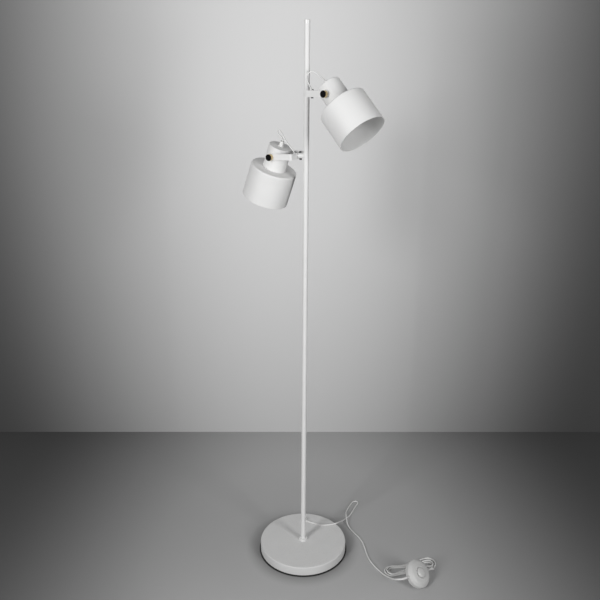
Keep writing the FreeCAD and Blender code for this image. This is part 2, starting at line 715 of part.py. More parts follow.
def make_head(side):
    head = head_place(side)
    rim = "Sizes.neck_diameter / 2"
    hole = "(Sizes.grip_thread_diameter + 0.4) / 2"
    neck = turned(side + "_neck", [
        (hole, "0"),
        (rim, "0"),
        (rim, "Sizes.neck_length"),
        (rim + " - Sizes.neck_wall", "Sizes.neck_length"),
        (rim + " - Sizes.neck_wall", "Sizes.neck_wall"),
        (hole, "Sizes.neck_wall"),
    ], head)
    edges = ring_edges(neck, size("neck_diameter") / 2, 0)
    soften(neck, edges, "Sizes.neck_edge_radius", name="back_edge")
    pivot = ("0", "-Sizes.neck_diameter", "Sizes.pivot_from_back")
    insert_hole = "(Sizes.insert_diameter - 2) / 2"
    drill(neck, insert_hole, "Sizes.neck_diameter * 2", pivot, ALONG_Y, "insert_holes")

    inserts = []
    wall = size("neck_diameter") / 2
    flange = wall - size("neck_wall") - 0.1
    for sign in (1, -1):
        heading = Vector(0, -sign, 0)
        centre = size("pivot_from_back")
        outside = Vector(0, sign * wall, centre)
        wide = size("insert_diameter") / 2
        length = size("insert_length")
        inside = Vector(0, sign * math.sqrt(flange ** 2 - wide ** 2), centre)
        barrel = Part.makeCylinder(wide - 1.1, length, outside, heading)
        shoulder = Part.makeCylinder(wide, length - 2.0, inside, heading)
        hole_radius = (size("pivot_screw_diameter") + size("pivot_hole_clearance")) / 2
        bore = Part.makeCylinder(hole_radius, 30, Vector(0, sign * 40, centre), heading)
        inserts.append(barrel.fuse(shoulder).removeSplitter().cut(bore))
    shaped(side + "_pivot_inserts", Part.makeCompound(inserts), head)

    shade_rim = "Sizes.shade_diameter / 2"
    shoulder = "Sizes.neck_length"
    mouth = shoulder + " + Sizes.shade_depth"
    lap = rim + " - Sizes.neck_wall - 0.1"
    shade = turned(side + "_shade", [
        (lap + " - Sizes.shade_wall", shoulder + " - Sizes.shade_neck_lap"),
        (lap, shoulder + " - Sizes.shade_neck_lap"),
        (lap, shoulder),
        (shade_rim, shoulder),
        (shade_rim, mouth),
        (shade_rim + " - Sizes.shade_wall", mouth),
        (shade_rim + " - Sizes.shade_wall", shoulder + " + Sizes.shade_wall"),
        (lap + " - Sizes.shade_wall", shoulder + " + Sizes.shade_wall"),
    ], head)
    edges = ring_edges(shade, size("shade_diameter") / 2, size("neck_length"))
    soften(shade, edges, "Sizes.shade_edge_radius", name="shoulder_edge")
    inside = size("shade_diameter") / 2 - size("shade_wall")
    edges = ring_edges(shade, inside, size("neck_length") + size("shade_wall"))
    soften(shade, edges, "Sizes.shade_edge_radius - Sizes.shade_wall", name="inner_shoulder_edge")

    floor_face = "Sizes.neck_wall"
    holder_foot = floor_face + " + Sizes.grip_nut_thickness + 0.2"
    holder_top = holder_foot + " + Sizes.holder_length"
    outer = "Sizes.holder_diameter / 2"
    bore = "Sizes.holder_bore / 2"
    web = "(%s) + Sizes.holder_length - Sizes.bulb_cap_length - 3" % holder_foot
    turned(side + "_lampholder", [
        ("Sizes.grip_thread_diameter / 2 + 0.2", holder_foot),
        (outer + " - 4", holder_foot),
        (outer, holder_foot + " + Sizes.holder_boss_height"),
        (outer, holder_top),
        (bore, holder_top),
        (bore, web),
        ("Sizes.grip_thread_diameter / 2 + 0.2", web),
    ], head)
    ring_foot = holder_top + " - 9"
    ring_outer = "Sizes.neck_diameter - 2 * Sizes.neck_wall - 2 * Sizes.slip_clearance"
    ring_bore = "Sizes.holder_diameter + 0.2"
    ring_height = "Sizes.ring_thickness"
    tube(side + "_holder_ring", ring_outer, ring_bore, ring_height, head, foot=ring_foot)

    cap_foot = web + " + 1"
    cap_rim = "Sizes.bulb_cap_diameter / 2"
    cap_top = cap_foot + " + Sizes.bulb_cap_length"
    turned(side + "_bulb_cap", [
        ("0", cap_foot),
        ("4", cap_foot),
        (cap_rim + " - 2", cap_foot + " + 3"),
        (cap_rim, cap_foot + " + 5"),
        (cap_rim, cap_top),
        ("0", cap_top),
    ], head)
    glass = bulb_glass(reckon(cap_top))
    shaped(side + "_bulb_glass", glass, head)

    thread = "Sizes.grip_thread_diameter / 2"
    grip_bore = "(Sizes.lead_diameter + 0.4) / 2"
    grip = "Sizes.grip_diameter / 2"
    thread_end = "-(Sizes.neck_wall + Sizes.grip_nut_thickness + 2)"
    turned(side + "_cord_grip", [
        (grip_bore, thread_end),
        (thread, thread_end),
        (thread, "0"),
        ("Sizes.grip_flange_diameter / 2", "0"),
        ("Sizes.grip_flange_diameter / 2", "Sizes.grip_flange_height"),
        (grip, "Sizes.grip_flange_height"),
        (grip + " - 0.4", "Sizes.grip_height"),
        (grip_bore, "Sizes.grip_height"),
    ], head * Placement(Vector(), Rotation(X_AXIS, 180)))
    nut_width = "Sizes.grip_nut_width"
    nut_bore = "Sizes.grip_thread_diameter"
    nut_height = "Sizes.grip_nut_thickness"
    hexagon_nut(side + "_grip_nut", nut_width, nut_bore, nut_height, head, foot=floor_face)


def bulb_glass(foot):
    """A small round frosted bulb: a neck that widens into a ball, turned about Z."""
    ball = size("bulb_diameter") / 2
    neck = size("bulb_neck_diameter") / 2
    centre = foot + size("bulb_body_length") - ball
    top = Vector(0, 0, centre + ball)
    join_height = centre - ball * 0.75
    join_radius = math.sqrt(ball ** 2 - (ball * 0.75) ** 2)
    outline = [
        Part.LineSegment(Vector(0, 0, foot + 0.1), Vector(neck, 0, foot + 0.1)).toShape(),
        Part.LineSegment(Vector(neck, 0, foot + 0.1), Vector(join_radius, 0, join_height)).toShape(),
        Part.Arc(Vector(join_radius, 0, join_height), Vector(ball, 0, centre), top).toShape(),
        Part.LineSegment(top, Vector(0, 0, foot + 0.1)).toShape(),
    ]
    return Part.Face(Part.Wire(outline)).revolve(Vector(), Z_AXIS, 360)


# Head leads, in the arm frame, from the hollow swivel tube to the grip on the neck's back

UPPER_LEAD = [
    (32.0, 0.0, 0.2),
    (35.2, -3.2, 0.8),
    (35.0, -8.8, 1.4),
    (31.6, -13.2, 4.0),
    (28.0, -15.0, 8.6),
    (24.6, -15.8, 14.2),
    (21.2, -16.8, 20.0),
    (17.6, -17.4, 26.0),
    (14.2, -17.2, 32.0),
    (12.2, -16.0, 38.2),
    (13.0, -13.8, 44.2),
    (16.8, -11.2, 49.0),
    (22.4, -8.4, 51.0),
    (29.4, -5.4, 49.0),
    (37.0, -2.8, 43.2),
    (45.0, -1.0, 37.4),
]
LOWER_LEAD = [
    (32.0, 0.0, 1.2),
    (34.8, 0.0, 7.0),
    (38.4, 0.1, 13.4),
    (44.2, 0.2, 20.2),
    (51.4, 0.5, 28.6),
    (57.6, 0.8, 37.2),
    (62.2, 1.2, 45.6),
    (66.2, 1.6, 53.4),
    (69.6, 1.8, 59.8),
    (74.2, 2.0, 63.4),
    (78.6, 2.2, 61.6),
    (79.6, 2.2, 56.8),
    (76.6, 1.8, 52.8),
    (72.6, 1.4, 48.8),
    (69.0, 0.8, 45.4),
    (66.4, 0.2, 42.4),
]


def make_lead(side, route):
    start = size("yoke_offset") + size("yoke_thickness") + size("swivel_nut_thickness")
    arm = arm_place(side)
    tilt = math.radians(size(side + "_tilt"))
    back = Vector(-math.cos(tilt), 0, math.sin(tilt))
    pivot = Vector(size("pivot_reach"), 0, 0)
    grip_end = pivot + back * (size("pivot_from_back") + size("grip_height"))
    points = [Vector(start, 0, 0)]
    points += [Vector(*place) for place in route]
    points += [grip_end + back * (1.25 * size("lead_diameter")), grip_end]
    swept(side + "_head_lead", run_edges(points, side + "_head_lead"), size("lead_diameter"), arm)


# Floor cord: the free stretch from the foot to the switch

FLOOR_ROUTE = [
    (-31.0, 76.0, "top"),
    (-16.5, 79.7, "top"),
    (2.9, 83.1, "top"),
    (17.0, 91.9, 31.8),
    (29.5, 101.0, 33.4),
    (38.8, 108.9, 35.2),
    (43.2, 118.2, 35.2),
    (42.6, 130.6, 30.3),
    (38.8, 148.0, 20.5),
    (34.7, 166.1, 11.5),
    (31.6, 181.6, 5.0),
    (30.7, 193.7, "floor"),
    (34.5, 208.0, "floor"),
    (33.5, 229.0, "floor"),
    (27.5, 250.0, "floor"),
    (23.0, 268.5, "floor"),
    (22.2, 285.0, "floor"),
    (13.9, 293.4, "floor"),
    (1.9, 293.4, "floor"),
    (-6.7, 284.3, "floor"),
    (-5.0, 268.0, "floor"),
    (0.0, 250.0, "floor"),
    (7.0, 232.0, "floor"),
    (15.0, 217.0, 5.0),
    (24.5, 202.0, 10.6),
    (40.5, 180.5, 10.6),
    (54.0, 166.0, 5.0),
    (70.0, 155.5, "floor"),
    (88.0, 147.5, "floor"),
    (107.0, 140.0, "floor"),
    (125.5, 130.5, "floor"),
    (142.5, 117.5, "floor"),
    (157.5, 102.0, "floor"),
    (172.0, 86.5, "floor"),
    (188.0, 72.0, "floor"),
    (206.0, 59.5, "floor"),
    (226.0, 49.5, "floor"),
    (245.0, 42.5, "floor"),
    (260.0, 36.0, 4.0),
    (273.5, 30.0, 9.0),
    (286.0, 23.0, 16.0),
    (298.0, 14.0, 24.5),
    (310.0, 4.5, 34.5),
    (322.5, -1.5, 45.0),
]


def floor_height():
    return size("cord_diameter") / 2 + size("cord_floor_gap")


def make_floor_cord():
    heights = {
        "floor": floor_height(),
        "top": size("base_height") + floor_height(),
    }
    start = Vector(size("boot_x") + size("boot_flat"), size("boot_y") - 0.5, heights["top"])
    points = [start]
    points += [Vector(x, y, heights.get(z, z)) for x, y, z in FLOOR_ROUTE]
    nozzle, outward = nozzle_end(1)
    points += [nozzle + outward * 15.0, nozzle]
    swept("floor_cord", run_edges(points, "floor_cord"), size("cord_diameter"))


# Foot switch


def switch_place():
    """The switch frame: origin at the middle of its underside, Z out of its top."""
    tilt = math.radians(size("switch_tilt"))
    foot_radius = size("switch_diameter") / 2
    lift = foot_radius * math.sin(tilt)
    turn = Rotation(Z_AXIS, size("switch_azimuth")) * Rotation(Y_AXIS, size("switch_tilt"))
    return Placement(Vector(size("switch_x"), size("switch_y"), lift), turn)


def nozzle_heading(sign):
    """Where a cord nozzle points, in the switch frame; 1 is the inlet and -1 the outlet."""
    angle = math.radians(size("nozzle_angle"))
    return Vector(-math.sin(angle), math.cos(angle), 0) * sign


def nozzle_end(sign):
    place = switch_place()
    heading = nozzle_heading(sign)
    reach = size("switch_diameter") / 2 + size("nozzle_length")
    end = place.multVec(heading * reach + Vector(0, 0, size("nozzle_height")))
    return end, place.Rotation.multVec(heading)


def make_switch():
    place = switch_place()
    rim = "Sizes.switch_diameter / 2"
    wall = "Sizes.switch_wall"
    seam = "Sizes.switch_base_height"
    base = turned("switch_base", [
        ("0", "0"),
        (rim, "0"),
        (rim, seam),
        (rim + " - " + wall, seam),
        (rim + " - " + wall, wall),
        ("0", wall),
    ], place)
    edges = ring_edges(base, size("switch_diameter") / 2, 0)
    soften(base, edges, "Sizes.switch_edge_radius", name="bottom_edge")
    screw_hole = "Sizes.switch_screw_diameter / 2 + 0.1"
    for number, sign in enumerate((1, -1)):
        spot = ("0", "%d * Sizes.switch_screw_circle / 2" % sign, "0")
        post = ("0", "%d * Sizes.switch_screw_circle / 2" % sign, wall)
        cylinder(base, "Additive", "3.5", seam + " - " + wall, post, name="post_%d" % number)
        drill(base, screw_hole, seam + " + 5", spot, name="screw_hole_%d" % number)

    crown = "Sizes.switch_crown_diameter / 2"
    lip = "Sizes.button_diameter / 2 + Sizes.button_clearance"
    top = "Sizes.switch_height"
    side = "Sizes.switch_side_height"
    crown_top = top + " - Sizes.switch_crown_drop"
    dish_foot = top + " - Sizes.button_dish_depth"
    foot = seam + " + Sizes.switch_seam"
    cover = turned("switch_cover", [
        (rim, foot),
        (rim, side),
        (crown, crown_top),
        ("Sizes.button_dish_diameter / 2", top),
        (lip, dish_foot),
        (lip, dish_foot + " - " + wall),
        (crown + " - 1.2", crown_top + " - " + wall),
        (rim + " - " + wall, side + " - 1"),
        (rim + " - " + wall, foot),
    ], place)
    edges = ring_edges(cover, size("switch_diameter") / 2, size("switch_side_height"))
    soften(cover, edges, "Sizes.switch_shoulder_radius", name="shoulder")
    edges = ring_edges(cover, reckon(crown), reckon(crown_top))
    soften(cover, edges, "Sizes.switch_crown_radius", name="crown")
    edges = ring_edges(cover, size("button_dish_diameter") / 2, size("switch_height"))
    soften(cover, edges, "Sizes.button_dish_depth", name="dish_edge")
    shaped_nozzles(place)

    button = "Sizes.button_diameter / 2"
    button_top = top + " + Sizes.button_rise"
    flange_top = dish_foot + " - " + wall + " - 0.4"
    flange_foot = flange_top + " - 2"
    cap = turned("switch_button", [
        (button + " - 3", flange_foot),
        (button + " + Sizes.button_flange", flange_foot),
        (button + " + Sizes.button_flange", flange_top),
        (button, flange_top),
        (button, button_top + " - 2"),
        (button + " - 5", button_top),
        ("0", button_top + " + 0.6"),
        ("0", button_top + " - 2"),
        (button + " - 3", button_top + " - 3"),
    ], place)
    edges = ring_edges(cap, size("button_diameter") / 2, reckon(button_top + " - 2"))
    soften(cap, edges, "1.5", name="rim")

    spring_top = button_top + " - 2.8"
    spring_outer = "Sizes.spring_diameter"
    spring_length = "%s - %s - 0.2" % (spring_top, wall)
    spring_foot = wall + " + 0.1"
    tube(
        "switch_spring",
        spring_outer,
        spring_outer + " - 2",
        spring_length,
        place,
        foot=spring_foot,
    )

    screws = []
    for sign in (1, -1):
        spot = Vector(0, sign * size("switch_screw_circle") / 2, 0)
        radius = size("switch_screw_diameter") / 2
        foot = spot + Vector(0, 0, 0.2)
        screws.append(Part.makeCylinder(radius, size("switch_base_height") - 0.5, foot))
    shaped("switch_screws", Part.makeCompound(screws), place)


def shaped_nozzles(place):
    """Two tapered cord nozzles, set against the switch's round side."""
    cones = []
    inner = size("switch_diameter") / 2
    for sign in (1, -1):
        heading = nozzle_heading(sign)
        seat = Vector(0, 0, size("nozzle_height")) + heading * (inner - 1.0)
        reach = size("nozzle_length") + 1.0
        wide = size("nozzle_diameter") / 2
        cone = Part.makeCone(wide, size("cord_diameter") / 2 + 0.7, reach, seat, heading)
        height = size("switch_height")
        below = Vector(0, 0, -height / 2)
        round_side = Part.makeCylinder(inner + 0.05, height * 2, below)
        cones.append(cone.cut(round_side))
    shaped("switch_nozzles", Part.makeCompound(cones), place)


# Hank of spare cord: two layers of oval loops between the switch and the plug


def hank_point(along, offset, height):
    """A point of the hank's own frame: along its length, offset to its front side."""
    heading = math.radians(size("hank_azimuth"))
    ahead = Vector(math.cos(heading), math.sin(heading), 0)
    front = Vector(math.sin(heading), -math.cos(heading), 0)
    centre = Vector(size("hank_x"), size("hank_y"), height)
    return centre + ahead * along + front * offset


def end_turn(along, side, first, second, height):
    """A half turn at one end, from the strand at one offset to the strand at another."""
    middle = (first + second) / 2
    radius = abs(first - second) / 2
    tip = hank_point(along + side * radius, middle, height)
    start = hank_point(along, first, height)
    return Part.Arc(start, tip, hank_point(along, second, height)).toShape()


def make_hank():
    low = floor_height()
    high = low + size("hank_layer_rise")
    outer = size("hank_outer_offset")
    inner = size("hank_inner_offset")
    reach = size("hank_half_length")
    inner_reach = reach - 3.0

    # The outlet strand swings onto a wide first turn round the hank's right-hand end
    first_radius = size("outlet_loop_radius")
    first_centre = hank_point(reach, first_radius - outer, low)
    heading = math.radians(size("outlet_heading"))
    tangent = Vector(math.cos(heading), math.sin(heading), 0)
    outward = Vector(math.sin(heading), -math.cos(heading), 0)
    touch = first_centre + outward * first_radius
    hank_start = touch - tangent * size("cord_diameter")
    end = hank_point(reach, -outer, low)
    halfway = (outward + (end - first_centre).normalize()).normalize()
    low_strand = hank_point(-reach, outer, low), hank_point(inner_reach, outer, low)
    low_inner = hank_point(inner_reach, -inner, low), hank_point(-inner_reach, -inner, low)
    edges = [
        Part.LineSegment(hank_start, touch).toShape(),
        Part.Arc(touch, first_centre + halfway * first_radius, end).toShape(),
        Part.LineSegment(end, hank_point(-reach, -outer, low)).toShape(),
        end_turn(-reach, -1, -outer, outer, low),
        Part.LineSegment(*low_strand).toShape(),
        end_turn(inner_reach, 1, outer, -inner, low),
        Part.LineSegment(*low_inner).toShape(),
        end_turn(-inner_reach, -1, -inner, inner, low),
    ]
    climb = [
        hank_point(-inner_reach, inner, low),
        hank_point(-inner_reach / 2, inner, low),
        hank_point(inner_reach / 2, inner, high),
        hank_point(inner_reach, inner, high),
    ]
    edges += run_edges(climb, "hank climb")
    turn_place = size("plug_turn_place")
    turn_radius = size("plug_turn_radius")
    high_inner = hank_point(inner_reach, -inner, high), hank_point(-inner_reach, -inner, high)
    high_outer = hank_point(-inner_reach, outer, high), hank_point(turn_place, outer, high)
    edges += [
        end_turn(inner_reach, 1, inner, -inner, high),
        Part.LineSegment(*high_inner).toShape(),
        end_turn(-inner_reach, -1, -inner, outer, high),
        Part.LineSegment(*high_outer).toShape(),
    ]
    centre = hank_point(turn_place, outer + turn_radius, high)
    begin = (hank_point(turn_place, outer, high) - centre).normalize() * turn_radius
    halfway = Rotation(Z_AXIS, -size("plug_turn_angle") / 2).multVec(begin)
    finish = Rotation(Z_AXIS, -size("plug_turn_angle")).multVec(begin)
    corner = centre + finish
    edges.append(Part.Arc(centre + begin, centre + halfway, corner).toShape())
    bearing = size("hank_azimuth") - size("plug_turn_angle")
    ahead = Rotation(Z_AXIS, bearing).multVec(X_AXIS)
    plug_rear = corner + ahead * size("cord_diameter")
    edges.append(Part.LineSegment(corner, plug_rear).toShape())
    print("cord_hank: least gap to itself %.2f mm" % least_self_gap(edges, size("cord_diameter")))
    swept("cord_hank", edges, size("cord_diameter"))

    nozzle, outward = nozzle_end(-1)
    points = [
        nozzle,
        nozzle + outward * 9.0,
        Vector(nozzle.x + 3.2, nozzle.y + 21.0, 11.6),
        hank_start - tangent * 10.6,
        hank_start,
    ]
    swept("outlet_cord", run_edges(points, "outlet_cord"), size("cord_diameter"))
    return plug_rear, bearing


def make_plug(rear, bearing):
    """A flat two-pin plug that lies on the floor, its pins ahead along that bearing."""
    place = Placement(rear, Rotation(Z_AXIS, bearing + 90) * Rotation(X_AXIS, 90))
    neck = size("plug_neck_length")
    length = size("plug_length")
    half_width = size("plug_width") / 2
    half_neck = size("plug_neck_width") / 2
    half_thickness = size("plug_thickness") / 2
    outline = [
        Vector(-half_neck * 0.6, 0, 0),
        Vector(half_neck * 0.6, 0, 0),
        Vector(half_neck, 0, neck),
        Vector(half_width, 0, neck + length * 0.45),
        Vector(half_width, 0, neck + length),
        Vector(-half_width, 0, neck + length),
        Vector(-half_width, 0, neck + length * 0.45),
        Vector(-half_neck, 0, neck),
    ]
    face = Part.Face(Part.makePolygon(outline + [outline[0]]))
    slab = face.extrude(Vector(0, 2 * half_thickness, 0))
    slab.translate(Vector(0, -half_thickness, 0))
    long_edges = [edge for edge in slab.Edges if abs(edge.CenterOfMass.y) < 1e-6]
    slab = slab.makeFillet(size("plug_edge_radius") * 0.8, long_edges)
    rims = []
    for edge in slab.Edges:
        if abs(abs(edge.CenterOfMass.y) - half_thickness) < 1e-6:
            rims.append(edge)
    slab = slab.makeFillet(size("plug_edge_radius"), rims)
    shaped("plug_body", slab, place)

    pins = []
    for sign in (1, -1):
        foot = Vector(sign * size("pin_spacing") / 2, 0, neck + length)
        pin = Part.makeCylinder(size("pin_diameter") / 2, size("pin_length"), foot)
        end = foot.z + size("pin_length")
        tips = [edge for edge in pin.Edges if abs(edge.CenterOfMass.z - end) < 1e-6]
        pins.append(pin.makeFillet(size("pin_diameter") * 0.3, tips))
    shaped("plug_pins", Part.makeCompound(pins), place)


def check_and_export():
    for item in doc.Objects:
        if "Invalid" in item.State or "Error" in item.State:
            raise ValueError("%s has failed: %s" % (item.Label, item.State))
    for item in parts:
        if item.Shape.isNull() or not item.Shape.isValid():
            raise ValueError("%s has no valid shape" % item.Label)
        if not item.Shape.Solids:
            raise ValueError("%s holds no solid" % item.Label)
    os.makedirs("parts", exist_ok=True)
    for item in parts:
        item.Shape.exportStep("parts/%s.step" % item.Label)
    print("%d sub-parts written" % len(parts))


make_foot()
make_pole()
for side in ("upper", "lower"):
    make_stub(side)
    make_yoke(side)
    make_knobs(side)
    make_head(side)
make_lead("upper", UPPER_LEAD)
make_lead("lower", LOWER_LEAD)
make_switch()
make_floor_cord()
make_plug(*make_hank())
doc.recompute()
check_and_export()
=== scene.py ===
import math

import bmesh
import bpy
from bpy.props import FloatProperty, FloatVectorProperty, IntProperty, PointerProperty
from mathutils import Matrix, Vector


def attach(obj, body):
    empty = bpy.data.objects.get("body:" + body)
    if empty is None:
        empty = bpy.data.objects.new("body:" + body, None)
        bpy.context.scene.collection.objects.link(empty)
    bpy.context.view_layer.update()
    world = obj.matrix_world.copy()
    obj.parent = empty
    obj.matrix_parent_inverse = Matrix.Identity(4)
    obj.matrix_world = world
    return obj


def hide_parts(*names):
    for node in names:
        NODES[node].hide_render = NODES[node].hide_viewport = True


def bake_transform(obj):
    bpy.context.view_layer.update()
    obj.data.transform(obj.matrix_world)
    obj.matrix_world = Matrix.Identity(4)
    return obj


bl_info = {
    "name": "Two-Spot Floor Lamp",
    "version": (1, 0, 0),
    "blender": (4, 5, 0),
    "location": "View3D > Sidebar > Floor Lamp",
    "description": "Finishes, flexes and photo stage of a white floor lamp with two spot heads",
    "category": "Object",
}

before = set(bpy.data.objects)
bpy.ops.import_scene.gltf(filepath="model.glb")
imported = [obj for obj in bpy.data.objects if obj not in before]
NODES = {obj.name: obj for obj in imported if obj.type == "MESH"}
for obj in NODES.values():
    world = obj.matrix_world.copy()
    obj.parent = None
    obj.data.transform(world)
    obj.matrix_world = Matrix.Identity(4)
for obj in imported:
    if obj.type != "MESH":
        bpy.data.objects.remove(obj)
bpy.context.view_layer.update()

MM = 0.001
SIDES = ("upper", "lower")

# Flex routes: control points in millimetres; those of the leads are in their arm's own frame

FLOOR_ROUTE = [
    (-43.0, 76.0, 31.2), (-31.0, 76.0, 31.2), (-16.5, 79.7, 31.2), (2.9, 83.1, 31.2),
    (17.0, 91.9, 31.8), (29.5, 101.0, 33.4), (38.8, 108.9, 35.2), (43.2, 118.2, 35.2),
    (42.6, 130.6, 30.3), (38.8, 148.0, 20.5), (34.7, 166.1, 11.5), (31.6, 181.6, 5.0),
    (30.7, 193.7, 2.2), (33.0, 208.0, 2.2), (30.0, 228.0, 2.2), (25.5, 247.0, 2.2),
    (21.8, 264.0, 2.2), (20.2, 276.0, 2.2), (19.8, 283.9, 2.2), (14.4, 289.3, 2.2),
    (6.8, 289.3, 2.2), (1.4, 283.9, 2.2), (1.4, 276.0, 2.2), (2.8, 264.0, 2.2),
    (5.5, 249.0, 2.2), (10.0, 232.0, 2.2),
    (15.0, 217.0, 5.0), (24.5, 202.0, 10.6), (40.5, 180.5, 10.6), (54.0, 166.0, 5.0),
    (70.0, 155.5, 2.2), (88.0, 147.5, 2.2), (107.0, 140.0, 2.2), (125.5, 130.5, 2.2),
    (142.5, 117.5, 2.2), (157.5, 102.0, 2.2), (172.0, 86.5, 2.2), (188.0, 72.0, 2.2),
    (206.0, 59.5, 2.2), (226.0, 49.5, 2.2), (245.0, 42.5, 2.2), (260.0, 36.0, 4.0),
    (273.5, 30.0, 9.0), (286.0, 23.0, 16.0), (298.0, 14.0, 24.5), (310.0, 4.5, 34.5),
    (322.5, -1.5, 45.0), (336.34, 4.84, 48.46), (340.31, 18.96, 45.31),
]
OUTLET_ROUTE = [(366.61, 112.61, 24.38), (368.99, 121.08, 22.49), (369.81, 133.61, 11.6)]
UPPER_LEAD = [
    (27.4, 0.0, 0.0), (30.8, 0.0, 0.1), (35.0, -3.7, 0.8), (35.5, -9.2, 1.8), (32.1, -13.7, 3.9),
    (28.0, -15.0, 8.6), (24.6, -15.8, 14.2), (21.2, -16.8, 20.0), (17.6, -17.4, 26.0),
    (14.2, -17.2, 32.0), (12.2, -16.0, 38.2), (13.0, -13.8, 44.2), (16.8, -11.2, 49.0),
    (22.4, -8.4, 51.0), (29.4, -5.4, 49.0), (37.0, -2.8, 43.2), (45.0, -1.0, 37.4),
    (54.36, 0.0, 31.22), (57.31, 0.0, 28.15),
]
LOWER_LEAD = [
    (27.4, 0.0, 0.0), (31.6, 0.0, 1.1), (34.7, 0.0, 7.1), (38.6, 0.1, 13.3), (44.2, 0.2, 20.2),
    (51.4, 0.5, 28.6), (57.6, 0.8, 37.2), (62.2, 1.2, 45.6), (66.2, 1.6, 53.4), (69.6, 1.8, 59.8),
    (74.2, 2.0, 63.4), (78.6, 2.2, 61.6), (79.6, 2.2, 56.8), (76.6, 1.8, 51.6), (72.8, 1.3, 48.0),
    (69.4, 0.8, 45.1), (67.2, 0.3, 42.0), (66.68, 0.0, 37.8), (67.82, 0.0, 35.35),
]
# The wound spare length: its middle, its long axis in degrees, and the heights of its two layers
HANK_CENTRE = (305.0, 111.0)
HANK_AZIMUTH = 52.0
LOW_LAYER = 2.2
HIGH_LAYER = 6.9

# Arms: height of the stub in millimetres, then azimuth, droop and roll in degrees
ARMS = {
    "upper": (1332.0, -3.9, -2.5, -3.6),
    "lower": (1183.0, 183.9, 4.9, 0.0),
}
PIVOT_REACH = 84.3

# Ribbed sleeves on the flex, in metres
RIB_PITCH = 0.0032
RIB_DEPTH = 0.0004
RIB_STEPS = 8
SLEEVE_WIDE = 0.0034
SLEEVE_NARROW = 0.00235
SLEEVE_TAPER = 0.8

# Thumb screws: places along the screw's axis and sizes, in metres
SCREW_TIP = 0.0258
SCREW_RADIUS = 0.0025
KNOB_SEAT = 0.03495
KNOB_LENGTH = 0.0095
KNOB_BEVEL = 0.0006
FACE_THICKNESS = 0.0014
FLUTE_DEPTH = 0.00045
GROOVE_PITCH = 0.0011
GROOVE_HALF_WIDTH = 0.0002
GROOVE_DEPTH = 0.00006
OUTER_GROOVE_INSET = 0.0018
INNER_GROOVE_RADIUS = 0.0012
FACE_STEPS = 96

# Photo stage, in degrees and metres: half sizes, how far the floor's middle lies in front of the pole,
# and how far the wall stands behind it
STAGE_TURN = 36.53
FLOOR_HALF = (5, 3)
FLOOR_AHEAD = 2.32
WALL_HALF = (5, 2)
WALL_BEHIND = 0.68

# Painted shadow on the floor where the foot stands, from wide to narrow: radius, falloff and depth
PAINTED_FOOT_SHADOWS = ((0.47, 1.5, 0.2), (0.175, 1.5, 1.5), (0.1315, 0.15, 1.4))

# Soft lights: name, place, target, width, height and watts
LIGHTS = (
    ("left_softbox", (-0.087, -2.498, 1.6), (0, 0, 1.7), 0.6, 1.4, 44),
    ("right_softbox", (2.450, -0.498, 1.4), (0, 0, 1.9), 0.6, 1.4, 31),
    ("front_softbox", (1.685, -2.36, 1.6), (0, 0, 2.3), 1.8, 1.8, 6),
    ("top_softbox", (0.45, -0.6, 3.0), (0, 0, 0.6), 1.4, 1.4, 3),
)
AMBIENT_LIGHT = 0.08
SURROUND_TONE = 0.62

# Camera: place, turn in degrees, and lens for a 36 mm sensor
CAMERA_PLACE = (1.08053, -1.51334, 1.49036)
CAMERA_TURN = (69.6346, -0.2995, 36.051)
CAMERA_LENS = 44.686
CAMERA_SENSOR = 36


# Settings

class LampFinishes(bpy.types.PropertyGroup):
    """Colours that a user may change"""

    paint_color: FloatVectorProperty(
        name="Paint", description="Powder coat of the pole, foot and heads",
        subtype="COLOR", size=3, min=0, max=1, default=(0.80, 0.80, 0.795))
    plastic_color: FloatVectorProperty(
        name="White plastic", description="Foot switch, plug, caps and grips",
        subtype="COLOR", size=3, min=0, max=1, default=(0.80, 0.80, 0.79))
    flex_color: FloatVectorProperty(
        name="Flex", description="Sheath of the flexes",
        subtype="COLOR", size=3, min=0, max=1, default=(0.80, 0.80, 0.79))
    brass_color: FloatVectorProperty(
        name="Brass", description="Thumb screws' knurled rims",
        subtype="COLOR", size=3, min=0, max=1, default=(0.70, 0.57, 0.34))
    # The floor's and wall's colours are their brightest tones; a painted pool of light dims them towards
    # their sides
    floor_color: FloatVectorProperty(
        name="Floor", description="Plain studio floor",
        subtype="COLOR", size=3, min=0, max=1, default=(0.71, 0.71, 0.71))
    wall_color: FloatVectorProperty(
        name="Wall", description="Plain studio wall behind the lamp",
        subtype="COLOR", size=3, min=0, max=1, default=(0.80, 0.80, 0.80))


class LampSizes(bpy.types.PropertyGroup):
    """Sizes that a user may change"""

    flex_diameter: FloatProperty(
        name="Floor flex", description="Outer diameter of the flex on the floor",
        unit="LENGTH", default=0.004, min=0.002, max=0.008)
    lead_diameter: FloatProperty(
        name="Head lead", description="Outer diameter of the short leads at the heads",
        unit="LENGTH", default=0.0034, min=0.002, max=0.006)
    knob_diameter: FloatProperty(
        name="Thumb screw", description="Outer diameter of a thumb screw",
        unit="LENGTH", default=0.0165, min=0.01, max=0.03)
    knob_flutes: IntProperty(
        name="Flutes", description="Flutes round a thumb screw's rim",
        default=40, min=12, max=80)


# Placing

def arm_matrix(side):
    """The place and turn of a head's arm, with X along the arm away from the pole."""
    height, azimuth, droop, roll = ARMS[side]
    turn = Matrix.Rotation(math.radians(azimuth), 4, "Z")
    turn = turn @ Matrix.Rotation(math.radians(droop), 4, "Y")
    turn = turn @ Matrix.Rotation(math.radians(roll), 4, "X")
    return Matrix.Translation((0, 0, height * MM)) @ turn


def polygon_round(centre, radius, start, sweep, height, steps=5):
    """Corners of the even polygon that lies round an arc; angles in degrees, counter-clockwise."""
    step = sweep / steps
    reach = radius / math.cos(math.radians(step / 2))
    points = []
    for i in range(steps):
        angle = math.radians(start + step * (i + 0.5))
        points.append((centre[0] + reach * math.cos(angle), centre[1] + reach * math.sin(angle), height))
    return points


